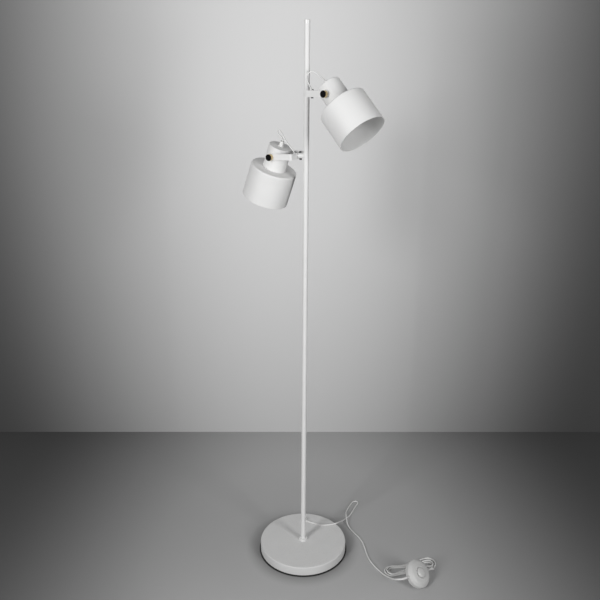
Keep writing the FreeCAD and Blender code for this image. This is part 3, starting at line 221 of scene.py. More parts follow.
def beside_arc(centre, radius, angle, ahead, height):
    """A corner on the tangent that touches an arc at an angle, so far ahead, counter-clockwise."""
    turn = math.radians(angle)
    x = centre[0] + radius * math.cos(turn) - ahead * math.sin(turn)
    y = centre[1] + radius * math.sin(turn) + ahead * math.cos(turn)
    return x, y, height


def hank_place(along, offset):
    """A place on the floor, from the hank's middle along its axis and to the right of it."""
    heading = math.radians(HANK_AZIMUTH)
    x = HANK_CENTRE[0] + along * math.cos(heading) + offset * math.sin(heading)
    y = HANK_CENTRE[1] + along * math.sin(heading) - offset * math.cos(heading)
    return x, y


def hank_run(height, *places):
    """Corners of a strand's run between two turns."""
    return [hank_place(along, offset) + (height,) for along, offset in places]


def hank_turn(along, first, second, height, steps=5):
    """Corners of a half turn at one end of the hank, from one strand's offset to another's."""
    radius = abs(first - second) / 2
    start = HANK_AZIMUTH - 90 if first > second else HANK_AZIMUTH + 90
    corners = polygon_round(hank_place(along, (first + second) / 2), radius, start, 180, height, steps)
    ahead = radius * math.tan(math.pi / steps / 2) * (1 if first < second else -1)
    return hank_run(height, (along + ahead, first)) + corners + hank_run(height, (along + ahead, second))


def spare_route():
    """The flex from the switch through the hank's loose turns to the plug."""
    low = LOW_LAYER
    high = HIGH_LAYER
    route = list(OUTLET_ROUTE)
    first_turn = (hank_place(57, -1.5), 23.0, 8)
    route.append(beside_arc(*first_turn, ahead=-14.6, height=low))
    route += polygon_round(*first_turn, sweep=134, height=low)
    route += hank_run(low, (26, -17), (-24, -11))
    route += hank_turn(-58, -18, 21, low, 6)
    route += hank_run(low, (-28, 21), (20, 16.5))
    route += hank_turn(55, 20, -6, low)
    route += hank_run(low, (26, -3.5), (-18, -3.5))
    route += hank_turn(-53, -11, 14, low)
    route += hank_run(low, (-26, 8.5)) + hank_run(high, (24, 7.5))
    route += hank_turn(57, 17, -8, high)
    route += hank_run(high, (24, -6), (-22, -4.5))
    route += hank_turn(-56, -13, 20, high)
    route += hank_run(high, (-30, 20.4), (4, 19.8))
    centre = hank_place(28.5, 32.5)
    radius = 12.5
    start = -30.5
    sweep = 172.5
    route.append(beside_arc(centre, radius, start + sweep, ahead=3.9, height=high))
    route += reversed(polygon_round(centre, radius, start, sweep, high))
    route.append(beside_arc(centre, radius, start, ahead=-4, height=high))
    return route


# Meshes

def new_mesh_object(name, bm, smooth_angle=40):
    """An object from a bmesh, shaded smooth up to an angle in degrees between faces."""
    mesh = bpy.data.meshes.new(name)
    bmesh.ops.recalc_face_normals(bm, faces=bm.faces)
    for face in bm.faces:
        face.smooth = True
    for edge in bm.edges:
        if len(edge.link_faces) == 2:
            edge.smooth = edge.calc_face_angle() < math.radians(smooth_angle)
    bm.to_mesh(mesh)
    bm.free()
    piece = bpy.data.objects.new(name, mesh)
    bpy.context.scene.collection.objects.link(piece)
    return piece


def lathe(bm, profile, steps, radius_at=None):
    """Turns (radius, height) points about Z; radius_at can change a radius by height and step."""
    rings = []
    for radius, height in profile:
        if radius < 1e-7:
            rings.append([bm.verts.new((0, 0, height))])
            continue
        ring = []
        for i in range(steps):
            angle = 2 * math.pi * i / steps
            reach = radius_at(radius, height, i) if radius_at else radius
            ring.append(bm.verts.new((reach * math.cos(angle), reach * math.sin(angle), height)))
        rings.append(ring)
    for below, above in zip(rings, rings[1:]):
        for i in range(steps):
            j = (i + 1) % steps
            corners = [below[i % len(below)], below[j % len(below)]]
            corners += [above[j % len(above)], above[i % len(above)]]
            unique = list(dict.fromkeys(corners))
            if len(unique) > 2:
                bm.faces.new(unique)


def sweep_tube(name, points, radii, sides=14):
    """A closed round tube along points, with frames carried along so that it doesn't twist."""
    bm = bmesh.new()
    heading = (points[1] - points[0]).normalized()
    across = heading.orthogonal().normalized()
    rings = []
    for i, point in enumerate(points):
        before = points[max(i - 1, 0)]
        after = points[min(i + 1, len(points) - 1)]
        ahead = (after - before).normalized()
        across = (across - ahead * across.dot(ahead)).normalized()
        beside = ahead.cross(across)
        ring = []
        for k in range(sides):
            angle = 2 * math.pi * k / sides
            reach = across * math.cos(angle) + beside * math.sin(angle)
            ring.append(bm.verts.new(point + reach * radii[i]))
        rings.append(ring)
    for below, above in zip(rings, rings[1:]):
        for k in range(sides):
            j = (k + 1) % sides
            bm.faces.new((below[k], below[j], above[j], above[k]))
    bm.faces.new(list(reversed(rings[0])))
    bm.faces.new(rings[-1])
    return new_mesh_object(name, bm)


def flex_curve(name, route, diameter, resolution=8):
    """A smooth round flex whose control points are the route's corners, in metres."""
    curve = bpy.data.curves.new(name, "CURVE")
    curve.dimensions = "3D"
    curve.resolution_u = resolution
    curve.bevel_depth = diameter / 2
    curve.bevel_resolution = 5
    curve.use_fill_caps = True
    spline = curve.splines.new("NURBS")
    spline.points.add(len(route) - 1)
    for point, place in zip(spline.points, route):
        point.co = (*place, 1)
    spline.order_u = 3
    spline.use_endpoint_u = True
    piece = bpy.data.objects.new(name, curve)
    bpy.context.scene.collection.objects.link(piece)
    return piece


def spline_points(route, resolution=10):
    """Points along the smooth spline whose control points are the route's corners."""
    guide = flex_curve("guide", route, 0, resolution)
    mesh = bpy.data.meshes.new_from_object(guide)
    points = [vertex.co.copy() for vertex in mesh.vertices]
    bpy.data.objects.remove(guide)
    bpy.data.meshes.remove(mesh)
    return points


def along_line(points, length, count):
    """Even points from a line's first point as far as a length along it."""
    places = []
    for i in range(count):
        left = length * i / (count - 1)
        for before, after in zip(points, points[1:]):
            step = (after - before).length
            if left <= step:
                places.append(before.lerp(after, left / step))
                break
            left -= step
    return places


def strain_relief(name, points, length):
    """A tapered, ribbed sleeve that guards a flex where it leaves its housing."""
    ribs = int(length / RIB_PITCH)
    places = along_line(points, length, ribs * RIB_STEPS + 1)
    radii = []
    for i in range(len(places)):
        share = i / (len(places) - 1)
        radius = SLEEVE_WIDE + (SLEEVE_NARROW - SLEEVE_WIDE) * share ** SLEEVE_TAPER
        in_groove = i % RIB_STEPS in (5, 6) and i < len(places) - RIB_STEPS
        radii.append(radius - RIB_DEPTH if in_groove else radius)
    sleeve = sweep_tube(name, places, radii, sides=28)
    sleeve.data.materials.append(finishes()["Soft Sleeve"])
    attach(sleeve, "stand")
    return sleeve


# Shared surface effects: node groups

def new_group(name, inputs, outputs):
    """A shader node group, with its input and output nodes."""
    group = bpy.data.node_groups.new(name, "ShaderNodeTree")
    for label, value in inputs:
        kind = "NodeSocketColor" if isinstance(value, tuple) else "NodeSocketFloat"
        socket = group.interface.new_socket(name=label, in_out="INPUT", socket_type=kind)
        socket.default_value = value
    for label, kind in outputs:
        group.interface.new_socket(name=label, in_out="OUTPUT", socket_type=kind)
    start = group.nodes.new("NodeGroupInput")
    end = group.nodes.new("NodeGroupOutput")
    start.location = (-900, 0)
    end.location = (600, 0)
    return group, start, end


def feed(tree, socket, value):
    """Links a node's output to a socket, or sets the socket to a number or a colour."""
    if isinstance(value, bpy.types.NodeSocket):
        tree.links.new(value, socket)
    elif isinstance(value, tuple):
        socket.default_value = (*value, 1)
    else:
        socket.default_value = value


def math_node(tree, operation, *values, clamp=False):
    node = tree.nodes.new("ShaderNodeMath")
    node.operation = operation
    node.use_clamp = clamp
    for socket, value in zip(node.inputs, values):
        feed(tree, socket, value)
    return node.outputs[0]


def noise_node(tree, vector, scale, detail=2.0, roughness=0.5):
    node = tree.nodes.new("ShaderNodeTexNoise")
    tree.links.new(vector, node.inputs["Vector"])
    feed(tree, node.inputs["Scale"], scale)
    node.inputs["Detail"].default_value = detail
    node.inputs["Roughness"].default_value = roughness
    return node.outputs["Fac"]


def span_node(tree, value, low, high, to_low=0.0, to_high=1.0):
    """A value spread smoothly from one range to another."""
    node = tree.nodes.new("ShaderNodeMapRange")
    node.interpolation_type = "SMOOTHSTEP"
    tree.links.new(value, node.inputs["Value"])
    node.inputs["From Min"].default_value = low
    node.inputs["From Max"].default_value = high
    node.inputs["To Min"].default_value = to_low
    node.inputs["To Max"].default_value = to_high
    return node.outputs["Result"]


def tone(tree, fac, dark, light):
    """A colour between two colours or outputs, by a varying value."""
    mix = tree.nodes.new("ShaderNodeMix")
    mix.data_type = "RGBA"
    for label, value in (("Factor", fac), ("A", dark), ("B", light)):
        feed(tree, mix.inputs[label], value)
    return mix.outputs["Result"]


def object_place(tree):
    return tree.nodes.new("ShaderNodeTexCoord").outputs["Object"]


def make_orange_peel():
    """Fine dimples of a sprayed or moulded surface, with a soft unevenness of tone."""
    group, start, end = new_group(
        "Orange Peel",
        [("Dimple Scale", 700.0), ("Dimple Depth", 0.6), ("Cloud Scale", 14.0)],
        [("Height", "NodeSocketFloat"), ("Cloud", "NodeSocketFloat")],
    )
    place = object_place(group)
    dimples = noise_node(group, place, start.outputs["Dimple Scale"], 2.0, 0.45)
    broad = noise_node(group, place, 160.0, 1.0)
    height = math_node(group, "MULTIPLY", dimples, start.outputs["Dimple Depth"])
    height = math_node(group, "ADD", height, math_node(group, "MULTIPLY", broad, 0.35))
    group.links.new(height, end.inputs["Height"])
    cloud = noise_node(group, place, start.outputs["Cloud Scale"], 3.0)
    group.links.new(span_node(group, cloud, 0.32, 0.68), end.inputs["Cloud"])


def make_settled_dust():
    """A thin veil of dust on faces that look up, broken by noise."""
    group, start, end = new_group(
        "Settled Dust",
        [("Color", (0.8, 0.8, 0.8, 1)), ("Dust", (0.5, 0.48, 0.45, 1)), ("Amount", 0.15)],
        [("Color", "NodeSocketColor"), ("Mask", "NodeSocketFloat")],
    )
    place = object_place(group)
    normal = group.nodes.new("ShaderNodeNewGeometry").outputs["Normal"]
    split = group.nodes.new("ShaderNodeSeparateXYZ")
    group.links.new(normal, split.inputs[0])
    facing = span_node(group, split.outputs["Z"], 0.55, 0.98)
    specks = span_node(group, noise_node(group, place, 260.0, 5.0, 0.7), 0.42, 0.75)
    drift = span_node(group, noise_node(group, place, 9.0, 3.0), 0.3, 0.7, 0.25, 1.0)
    mask = math_node(group, "MULTIPLY", math_node(group, "MULTIPLY", facing, specks), drift)
    mask = math_node(group, "MULTIPLY", mask, start.outputs["Amount"], clamp=True)
    dusty = tone(group, mask, start.outputs["Color"], start.outputs["Dust"])
    group.links.new(dusty, end.inputs["Color"])
    group.links.new(mask, end.inputs["Mask"])


def make_edge_wear():
    """A mask that is bright on outer edges, broken up by scratches."""
    group, start, end = new_group(
        "Edge Wear",
        [("Amount", 0.5), ("Breakup Scale", 350.0)],
        [("Mask", "NodeSocketFloat")],
    )
    pointiness = group.nodes.new("ShaderNodeNewGeometry").outputs["Pointiness"]
    edge = span_node(group, pointiness, 0.52, 0.60)
    breakup = noise_node(group, object_place(group), start.outputs["Breakup Scale"], 4.0, 0.65)
    mask = math_node(group, "MULTIPLY", edge, span_node(group, breakup, 0.35, 0.65))
    mask = math_node(group, "MULTIPLY", mask, start.outputs["Amount"], clamp=True)
    group.links.new(mask, end.inputs["Mask"])


def make_hairlines():
    """Fine parallel scratches, as drawn or turned metal has, along one axis."""
    group, start, end = new_group(
        "Hairlines",
        [("Across Scale", 2600.0), ("Along Scale", 60.0)],
        [("Height", "NodeSocketFloat"), ("Shade", "NodeSocketFloat")],
    )
    stretch = group.nodes.new("ShaderNodeCombineXYZ")
    split = group.nodes.new("ShaderNodeSeparateXYZ")
    group.links.new(object_place(group), split.inputs[0])
    for axis, scale in (("X", "Along Scale"), ("Y", "Across Scale"), ("Z", "Across Scale")):
        scaled = math_node(group, "MULTIPLY", split.outputs[axis], start.outputs[scale])
        group.links.new(scaled, stretch.inputs[axis])
    lines = noise_node(group, stretch.outputs[0], 1.0, 2.0)
    group.links.new(lines, end.inputs["Height"])
    group.links.new(span_node(group, lines, 0.3, 0.7), end.inputs["Shade"])


def make_painted_light_and_shade_pool():
    """A mask for painted light and shade, which falls off softly from a place on a studio backdrop to
    its dim edges.
    """
    group, start, end = new_group(
        "Light Pool",
        [("Centre X", 0.0), ("Centre Y", 0.0), ("Width", 1.0), ("Height", 1.0), ("Falloff", 1.3)],
        [("Mask", "NodeSocketFloat")],
    )
    split = group.nodes.new("ShaderNodeSeparateXYZ")
    group.links.new(object_place(group), split.inputs[0])
    spread = []
    for axis, centre, reach in (("X", "Centre X", "Width"), ("Y", "Centre Y", "Height")):
        offset = math_node(group, "SUBTRACT", split.outputs[axis], start.outputs[centre])
        offset = math_node(group, "DIVIDE", offset, start.outputs[reach])
        spread.append(math_node(group, "MULTIPLY", offset, offset))
    left = math_node(group, "SUBTRACT", 1.0, math_node(group, "ADD", *spread), clamp=True)
    group.links.new(math_node(group, "POWER", left, start.outputs["Falloff"]), end.inputs["Mask"])


EFFECTS = {
    "Light Pool": make_painted_light_and_shade_pool,
    "Orange Peel": make_orange_peel,
    "Settled Dust": make_settled_dust,
    "Edge Wear": make_edge_wear,
    "Hairlines": make_hairlines,
}


def effect(tree, name, **values):
    """A node that uses one of the shared groups, with values for its inputs."""
    if name not in bpy.data.node_groups:
        EFFECTS[name]()
    group = bpy.data.node_groups[name]
    node = tree.nodes.new("ShaderNodeGroup")
    node.node_tree = group
    for label, value in values.items():
        node.inputs[label.replace("_", " ")].default_value = value
    return node


# Materials

def start_material(name, **values):
    """A material with its Principled shader; the values are set on the shader's own sockets."""
    material = bpy.data.materials.new(name)
    material.use_nodes = True
    tree = material.node_tree
    shader = tree.nodes["Principled BSDF"]
    for label, value in values.items():
        shader.inputs[label.replace("_", " ")].default_value = value
    return material, tree, shader


def bump(tree, shader, height, strength, distance):
    """Fine relief from a varying height; the distance is in metres."""
    node = tree.nodes.new("ShaderNodeBump")
    node.inputs["Strength"].default_value = strength
    node.inputs["Distance"].default_value = distance
    tree.links.new(height, node.inputs["Height"])
    tree.links.new(node.outputs["Normal"], shader.inputs["Normal"])


def shade(color, factor):
    """A colour made darker or lighter by a factor."""
    return tuple(min(1.0, channel * factor) for channel in color)


def coated(name, color, roughness, dimple, depth, dust, coat):
    """A painted, moulded or extruded white surface: dimples, uneven tone and a little dust."""
    material, tree, shader = start_material(
        name, Roughness=roughness, Coat_Weight=coat, Coat_Roughness=0.15)
    peel = effect(tree, "Orange Peel", Dimple_Scale=dimple)
    mottled = tone(tree, peel.outputs["Cloud"], shade(color, 0.965), color)
    veil = effect(tree, "Settled Dust", Amount=dust)
    tree.links.new(mottled, veil.inputs["Color"])
    tree.links.new(veil.outputs["Color"], shader.inputs["Base Color"])
    rough = math_node(tree, "MULTIPLY_ADD", peel.outputs["Cloud"], 0.08, roughness)
    dusty = math_node(tree, "MULTIPLY", veil.outputs["Mask"], 0.4)
    rough = math_node(tree, "ADD", rough, dusty, clamp=True)
    tree.links.new(rough, shader.inputs["Roughness"])
    bump(tree, shader, peel.outputs["Height"], 0.35, depth)
    return material


def metal(name, color, worn, roughness, lines=0.5):
    """A bare metal with fine lines, brighter where its edges are rubbed."""
    material, tree, shader = start_material(name, Metallic=1.0, Roughness=roughness)
    hair = effect(tree, "Hairlines")
    wear = effect(tree, "Edge Wear", Amount=0.7)
    drawn = tone(tree, hair.outputs["Shade"], shade(color, 0.86), color)
    rubbed = tone(tree, wear.outputs["Mask"], drawn, worn)
    tree.links.new(rubbed, shader.inputs["Base Color"])
    rough = math_node(tree, "MULTIPLY_ADD", hair.outputs["Shade"], 0.12, roughness)
    tree.links.new(rough, shader.inputs["Roughness"])
    bump(tree, shader, hair.outputs["Height"], lines, 0.00006)
    return material


def dark_finish(name, color, worn, roughness, dimple=900.0, gloss=0.5):
    """A black finish that shows a lighter tone on rubbed edges."""
    material, tree, shader = start_material(name, Roughness=roughness, Specular_IOR_Level=gloss)
    peel = effect(tree, "Orange Peel", Dimple_Scale=dimple)
    wear = effect(tree, "Edge Wear", Amount=0.35)
    uneven = tone(tree, peel.outputs["Cloud"], shade(color, 0.8), color)
    rubbed = tone(tree, wear.outputs["Mask"], uneven, worn)
    tree.links.new(rubbed, shader.inputs["Base Color"])
    bump(tree, shader, peel.outputs["Height"], 0.4, 0.00008)
    return material


def opal_glass():
    """Milky glass of the bulbs, faintly cloudy."""
    material, tree, shader = start_material(
        "Opal Glass", Roughness=0.18, Transmission_Weight=0.25, IOR=1.5,
        Coat_Weight=0.6, Coat_Roughness=0.05)
    peel = effect(tree, "Orange Peel", Dimple_Scale=60.0, Cloud_Scale=40.0)
    milky = tone(tree, peel.outputs["Cloud"], (0.88, 0.87, 0.85), (0.94, 0.93, 0.92))
    tree.links.new(milky, shader.inputs["Base Color"])
    bump(tree, shader, peel.outputs["Height"], 0.05, 0.0001)
    return material


def cast_concrete():
    """Grey concrete with sand grain, darker patches and small air holes."""
    material, tree, shader = start_material("Cast Concrete", Roughness=0.88)
    place = object_place(tree)
    patches = span_node(tree, noise_node(tree, place, 22.0, 5.0, 0.6), 0.3, 0.7)
    ground = tone(tree, patches, (0.30, 0.295, 0.28), (0.44, 0.435, 0.42))
    cells = tree.nodes.new("ShaderNodeTexVoronoi")
    tree.links.new(place, cells.inputs["Vector"])
    cells.inputs["Scale"].default_value = 190.0
    solid = span_node(tree, cells.outputs["Distance"], 0.10, 0.22)
    pitted = tone(tree, solid, (0.12, 0.115, 0.11), ground)
    tree.links.new(pitted, shader.inputs["Base Color"])
    sand = math_node(tree, "MULTIPLY", noise_node(tree, place, 900.0, 3.0, 0.6), 0.4)
    bump(tree, shader, math_node(tree, "ADD", sand, solid), 0.6, 0.0004)
    return material


def finishes():
    """The lamp's materials, made once."""
    if "Powder Coat" in bpy.data.materials:
        return bpy.data.materials
    colors = bpy.context.scene.lamp_finishes
    paint = tuple(colors.paint_color)
    plastic = tuple(colors.plastic_color)
    flex = tuple(colors.flex_color)
    # Name, colour, roughness, dimple scale, dimple depth in metres, dust and clear coat
    for row in (
            ("Powder Coat", paint, 0.52, 650.0, 0.00012, 0.10, 0.0),
            # The foot's paint is the powder coat darkened as painted shade
            ("Foot Paint", shade(paint, 0.90), 0.52, 650.0, 0.00012, 0.22, 0.0),
            ("Gloss Plastic", plastic, 0.26, 420.0, 0.00005, 0.12, 0.2),
            # The switch's plastic is the white plastic darkened as painted shade, with its own roughness
            # and coat
            ("Switch Plastic", shade(plastic, 0.78), 0.34, 420.0, 0.00005, 0.12, 0.1),
            ("Nylon", shade(plastic, 1.02), 0.42, 900.0, 0.00008, 0.0, 0.0),
            ("Flex Sheath", flex, 0.40, 1100.0, 0.00006, 0.10, 0.0),
            ("Soft Sleeve", shade(flex, 0.97), 0.52, 1300.0, 0.00006, 0.12, 0.0)):
        coated(*row)
    metal("Brass", tuple(colors.brass_color), (0.86, 0.75, 0.52), 0.3)
    metal("Zinc Steel", (0.52, 0.53, 0.55), (0.72, 0.72, 0.72), 0.34)
    metal("Nickel", (0.66, 0.63, 0.58), (0.82, 0.80, 0.77), 0.18, 0.25)
    dark_finish("Black Anodised", (0.003, 0.003, 0.003), (0.03, 0.027, 0.024), 0.5, gloss=0.06)
    dark_finish("Black Oxide", (0.02, 0.02, 0.022), (0.16, 0.16, 0.17), 0.45)
    dark_finish("Pad Rubber", (0.02, 0.02, 0.02), (0.06, 0.06, 0.06), 0.85, 1500.0)
    cast_concrete()
    opal_glass()
    return bpy.data.materials


def dress(node, material):
    """Gives a CAD node one of the lamp's finishes."""
    piece = NODES[node]
    piece.data.materials.clear()
    piece.data.materials.append(finishes()[material])


def both(*names):
    """The names of both heads' nodes, upper ones first."""
    return [side + "_" + name for side in SIDES for name in names]


# Operators

class LAMP_OT_pole_and_foot(bpy.types.Operator):
    """Finishes the foot, the pole and what clamps them together"""

    bl_idname = "lamp.pole_and_foot"
    bl_label = "Pole and Foot"

    def execute(self, context):
        # The foot gets the powder coat darkened as painted shade
        dress("base_cover", "Foot Paint")
        for node in ("pole_collar", "lower_tube", "upper_tube"):
            dress(node, "Powder Coat")
        for node in ("top_cap", "cord_boot"):
            dress(node, "Gloss Plastic")
        for node in ("clamp_rod", "base_nut", "base_washer", "foot_insert", "tube_joiner"):
            dress(node, "Zinc Steel")
        dress("base_pad", "Pad Rubber")
        dress("base_weight", "Cast Concrete")
        return {"FINISHED"}


class LAMP_OT_brackets(bpy.types.Operator):
    """Finishes the stubs, the yoke brackets and their small screws"""

    bl_idname = "lamp.brackets"
    bl_label = "Brackets"

    def execute(self, context):
        for node in both("socket", "yoke"):
            dress(node, "Powder Coat")
        for node in both("swivel_tube", "swivel_nut"):
            dress(node, "Zinc Steel")
        for node in both("clamp_screws"):
            dress(node, "Black Oxide")
        for node in both("knob_washers"):
            dress(node, "Nylon")
        return {"FINISHED"}


class LAMP_OT_heads(bpy.types.Operator):
    """Finishes the spot heads, their lampholders and their bulbs"""

    bl_idname = "lamp.heads"
    bl_label = "Spot Heads"

    def execute(self, context):
        for node in both("neck", "shade"):
            dress(node, "Powder Coat")
        for node in both("lampholder", "holder_ring", "cord_grip", "grip_nut"):
            dress(node, "Nylon")
        for node in both("pivot_inserts"):
            dress(node, "Zinc Steel")
        for node in both("bulb_cap"):
            dress(node, "Nickel")
        for node in both("bulb_glass"):
            dress(node, "Opal Glass")
        return {"FINISHED"}


class LAMP_OT_thumb_screws(bpy.types.Operator):
    """Makes the four knurled thumb screws with their black faces"""

    bl_idname = "lamp.thumb_screws"
    bl_label = "Thumb Screws"

    def execute(self, context):
        sizes = context.scene.lamp_sizes
        flutes = sizes.knob_flutes
        rim = sizes.knob_diameter / 2
        face = KNOB_SEAT + KNOB_LENGTH
        shoulder = face - FACE_THICKNESS
        flute_start = KNOB_SEAT + 0.001
        flute_end = shoulder - 0.0002

        def fluted(radius, height, i):
            in_flute = height in (flute_start, flute_end) and i % 4 in (2, 3)
            return radius - FLUTE_DEPTH if in_flute else radius

        body = [
            (0.0, SCREW_TIP), (SCREW_RADIUS - 0.0003, SCREW_TIP), (SCREW_RADIUS, SCREW_TIP + 0.0004),
            (SCREW_RADIUS, KNOB_SEAT), (rim - KNOB_BEVEL, KNOB_SEAT), (rim, KNOB_SEAT + KNOB_BEVEL),
            (rim, flute_start), (rim, flute_end), (rim, shoulder), (0.0, shoulder),
        ]
        disc = [(0.0, shoulder), (rim, shoulder), (rim, face - KNOB_BEVEL), (rim - KNOB_BEVEL, face)]
        ring = rim - OUTER_GROOVE_INSET
        while ring > INNER_GROOVE_RADIUS:
            disc.append((ring + GROOVE_HALF_WIDTH, face))
            disc.append((ring, face - GROOVE_DEPTH))
            disc.append((ring - GROOVE_HALF_WIDTH, face))
            ring -= GROOVE_PITCH
        disc.append((0.0, face))
        for side in SIDES:
            pivot = arm_matrix(side) @ Matrix.Translation((PIVOT_REACH * MM, 0, 0))
            for hand, turn in (("left", -90), ("right", 90)):
                place = pivot @ Matrix.Rotation(math.radians(turn), 4, "X")
                node = "%s_%s_knob" % (side, hand)
                for suffix, profile, material, shape in (
                        ("_screw", body, "Brass", fluted), ("_face", disc, "Black Anodised", None)):
                    bm = bmesh.new()
                    lathe(bm, profile, flutes * 4 if shape else FACE_STEPS, shape)
                    bm.transform(place)
                    piece = new_mesh_object(node + suffix, bm, smooth_angle=35)
                    piece.data.materials.append(finishes()[material])
                    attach(piece, node)
                    if shape:
                        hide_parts(node)
        return {"FINISHED"}


class LAMP_OT_head_leads(bpy.types.Operator):
    """Makes the short leads that bend between the brackets and the heads"""

    bl_idname = "lamp.head_leads"
    bl_label = "Head Leads"

    def execute(self, context):
        radius = context.scene.lamp_sizes.lead_diameter / 2
        for side, route in zip(SIDES, (UPPER_LEAD, LOWER_LEAD)):
            place = arm_matrix(side)
            corners = [place @ (Vector(point) * MM) for point in route]
            points = spline_points(corners)
            lead = sweep_tube(side + "_lead", points, [radius] * len(points))
            lead.data.materials.append(finishes()["Flex Sheath"])
            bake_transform(lead)
            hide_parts(side + "_head_lead")
        return {"FINISHED"}


class LAMP_OT_floor_flex(bpy.types.Operator):
    """Lays the flex from the foot to the switch and on through the wound spare length"""

    bl_idname = "lamp.floor_flex"
    bl_label = "Floor Flex"

    def execute(self, context):
        diameter = context.scene.lamp_sizes.flex_diameter
        route = [Vector(point) * MM for point in FLOOR_ROUTE]
        flex = flex_curve("foot_flex", route, diameter)
        flex.data.materials.append(finishes()["Flex Sheath"])
        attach(flex, "stand")
        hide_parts("floor_cord")
        line = spline_points(route)
        inlet = strain_relief("inlet_relief", list(reversed(line)), length=0.038)
        route = [Vector(point) * MM for point in spare_route()]
        spare = flex_curve("spare_flex", route, diameter)
        spare.data.materials.append(finishes()["Flex Sheath"])
        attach(spare, "stand")
        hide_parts("outlet_cord", "cord_hank")
        line = spline_points(route)
        outlet = strain_relief("outlet_relief", line, length=0.024)
        return {"FINISHED"}


class LAMP_OT_switch_and_plug(bpy.types.Operator):
    """Finishes the foot switch and the plug"""

    bl_idname = "lamp.switch_and_plug"
    bl_label = "Foot Switch and Plug"

    def execute(self, context):
        for node in ("switch_base", "switch_cover", "switch_button", "switch_nozzles", "plug_body"):
            # The switch and the plug get the white plastic darkened as painted shade
            dress(node, "Switch Plastic")
        for node in ("switch_spring", "switch_screws"):
            dress(node, "Zinc Steel")
        dress("plug_pins", "Nickel")
        return {"FINISHED"}


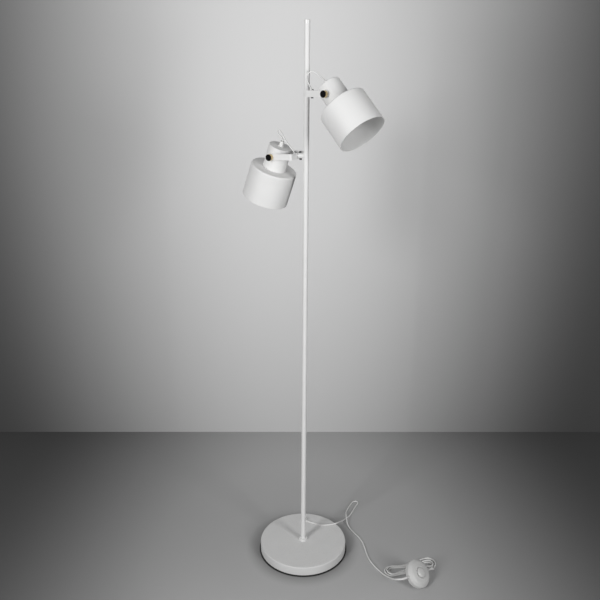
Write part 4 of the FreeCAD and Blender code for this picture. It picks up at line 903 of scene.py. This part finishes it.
class LAMP_OT_stage(bpy.types.Operator):
    """Sets the studio floor, the wall behind, the soft lights and the camera"""

    bl_idname = "lamp.stage"
    bl_label = "Photo Stage"

    def execute(self, context):
        scene = context.scene
        colors = scene.lamp_finishes
        turn = Matrix.Rotation(math.radians(STAGE_TURN), 4, "Z")
        floor = self.sheet("studio_floor", self.floor_material(tuple(colors.floor_color)))
        floor.matrix_world = (
            turn @ Matrix.Translation((0, -FLOOR_AHEAD, 0)) @ Matrix.Diagonal((*FLOOR_HALF, 1, 1)))
        wall = self.sheet("studio_wall", self.wall_material(tuple(colors.wall_color)))
        wall.matrix_world = (
            turn @ Matrix.Translation((0, WALL_BEHIND, WALL_HALF[1]))
            @ Matrix.Rotation(math.radians(90), 4, "X") @ Matrix.Diagonal((*WALL_HALF, 1, 1)))
        for row in LIGHTS:
            self.light(*row)
        self.world(scene)
        self.camera(scene)
        scene.view_settings.view_transform = "Standard"
        return {"FINISHED"}

    def sheet(self, name, material):
        """A flat square from -1 to 1."""
        bm = bmesh.new()
        bmesh.ops.create_grid(bm, x_segments=1, y_segments=1, size=1.0)
        piece = new_mesh_object(name, bm)
        piece.data.materials.append(material)
        return piece

    def painted_light_pool(self, tree, color, painted_dim, **painted_pool):
        """A backdrop's colour with a painted pool of light: bright behind the lamp and dim towards its
        sides.
        """
        return tone(tree, effect(tree, "Light Pool", **painted_pool).outputs["Mask"], shade(color, painted_dim), color)

    def floor_material(self, color):
        """Matt grey vinyl with a painted pool of light that dims towards its sides, and painted shadow
        round the foot.
        """
        material, tree, shader = start_material("Studio Floor", Roughness=0.75, Specular_IOR_Level=0.25)
        # Painted pool of light: the floor's colour is dimmed towards its sides
        ground = self.painted_light_pool(
            tree, color, painted_dim=0.118,
            Centre_X=0.0037, Centre_Y=0.15, Width=0.2348, Height=2.049, Falloff=2.62)
        across, along = FLOOR_HALF
        # Painted shadow round the foot: each ring darkens the floor's colour by its depth
        for radius, falloff, depth in PAINTED_FOOT_SHADOWS:
            ring = effect(
                tree, "Light Pool", Centre_Y=FLOOR_AHEAD / along,
                Width=radius / across, Height=radius / along, Falloff=falloff)
            painted_shadow = math_node(tree, "MULTIPLY", ring.outputs["Mask"], depth)
            kept = math_node(tree, "SUBTRACT", 1.0, painted_shadow, clamp=True)
            scale = tree.nodes.new("ShaderNodeVectorMath")
            scale.operation = "SCALE"
            tree.links.new(ground, scale.inputs[0])
            tree.links.new(kept, scale.inputs["Scale"])
            ground = scale.outputs["Vector"]
        tree.links.new(ground, shader.inputs["Base Color"])
        return material

    def wall_material(self, color):
        """Paint with a painted pool of light that dims towards its sides, only seen from its front."""
        material, tree, shader = start_material("Studio Wall", Roughness=0.9, Specular_IOR_Level=0.1)
        # Painted pool of light: the wall's colour is dimmed towards its sides
        ground = self.painted_light_pool(
            tree, color, painted_dim=0.103,
            Centre_X=-0.0103, Centre_Y=-0.363, Width=0.2501, Height=1.849, Falloff=2.34)
        tree.links.new(ground, shader.inputs["Base Color"])
        clear = tree.nodes.new("ShaderNodeBsdfTransparent")
        mix = tree.nodes.new("ShaderNodeMixShader")
        back = tree.nodes.new("ShaderNodeNewGeometry").outputs["Backfacing"]
        tree.links.new(back, mix.inputs[0])
        tree.links.new(shader.outputs[0], mix.inputs[1])
        tree.links.new(clear.outputs[0], mix.inputs[2])
        tree.links.new(mix.outputs[0], tree.nodes["Material Output"].inputs["Surface"])
        return material

    def light(self, name, place, target, width, height, power):
        """A soft rectangular light that the camera doesn't see, turned towards its target."""
        lamp = bpy.data.lights.new(name, "AREA")
        lamp.shape = "RECTANGLE"
        lamp.size = width
        lamp.size_y = height
        lamp.energy = power
        holder = bpy.data.objects.new(name, lamp)
        holder.visible_camera = False
        holder.location = place
        holder.rotation_euler = (Vector(target) - Vector(place)).to_track_quat("-Z", "Y").to_euler()
        bpy.context.scene.collection.objects.link(holder)

    def world(self, scene):
        """Dim even light from all round, with a paler tone where it is seen or mirrored."""
        world = bpy.data.worlds.new("Studio")
        world.use_nodes = True
        tree = world.node_tree
        tree.nodes.clear()
        out = tree.nodes.new("ShaderNodeOutputWorld")
        light = tree.nodes.new("ShaderNodeBackground")
        light.inputs["Color"].default_value = (1, 1, 1, 1)
        light.inputs["Strength"].default_value = AMBIENT_LIGHT
        seen = tree.nodes.new("ShaderNodeBackground")
        seen.inputs["Color"].default_value = (SURROUND_TONE, SURROUND_TONE, SURROUND_TONE, 1)
        seen.inputs["Strength"].default_value = 1.0
        rays = tree.nodes.new("ShaderNodeLightPath")
        direct = rays.outputs["Is Camera Ray"]
        for ray in ("Is Glossy Ray", "Is Transmission Ray"):
            direct = math_node(tree, "ADD", direct, rays.outputs[ray], clamp=True)
        mix = tree.nodes.new("ShaderNodeMixShader")
        tree.links.new(direct, mix.inputs[0])
        tree.links.new(light.outputs[0], mix.inputs[1])
        tree.links.new(seen.outputs[0], mix.inputs[2])
        tree.links.new(mix.outputs[0], out.inputs["Surface"])
        scene.world = world

    def camera(self, scene):
        data = bpy.data.cameras.new("photo_camera")
        data.sensor_width = CAMERA_SENSOR
        data.lens = CAMERA_LENS
        holder = bpy.data.objects.new("photo_camera", data)
        holder.location = CAMERA_PLACE
        holder.rotation_euler = [math.radians(angle) for angle in CAMERA_TURN]
        scene.collection.objects.link(holder)
        scene.camera = holder


class LAMP_PT_panel(bpy.types.Panel):
    """The lamp's pieces, sizes and colours in the sidebar"""

    bl_label = "Floor Lamp"
    bl_idname = "LAMP_PT_panel"
    bl_space_type = "VIEW_3D"
    bl_region_type = "UI"
    bl_category = "Floor Lamp"

    def draw(self, context):
        layout = self.layout
        for group in (context.scene.lamp_finishes, context.scene.lamp_sizes):
            column = layout.column()
            for name in group.bl_rna.properties.keys():
                if name not in ("rna_type", "name"):
                    column.prop(group, name)
        for operator in STEPS:
            layout.operator(operator.bl_idname)


STEPS = (
    LAMP_OT_stage,
    LAMP_OT_floor_flex,
    LAMP_OT_head_leads,
    LAMP_OT_pole_and_foot,
    LAMP_OT_brackets,
    LAMP_OT_heads,
    LAMP_OT_thumb_screws,
    LAMP_OT_switch_and_plug,
)
CLASSES = (LampFinishes, LampSizes, *STEPS, LAMP_PT_panel)


def register():
    for item in CLASSES:
        bpy.utils.register_class(item)
    bpy.types.Scene.lamp_finishes = PointerProperty(type=LampFinishes)
    bpy.types.Scene.lamp_sizes = PointerProperty(type=LampSizes)


def unregister():
    del bpy.types.Scene.lamp_sizes
    del bpy.types.Scene.lamp_finishes
    for item in reversed(CLASSES):
        bpy.utils.unregister_class(item)


def main():
    register()
    for step in STEPS:
        group, name = step.bl_idname.split(".")
        getattr(getattr(bpy.ops, group), name)()


if __name__ == "__main__":
    main()
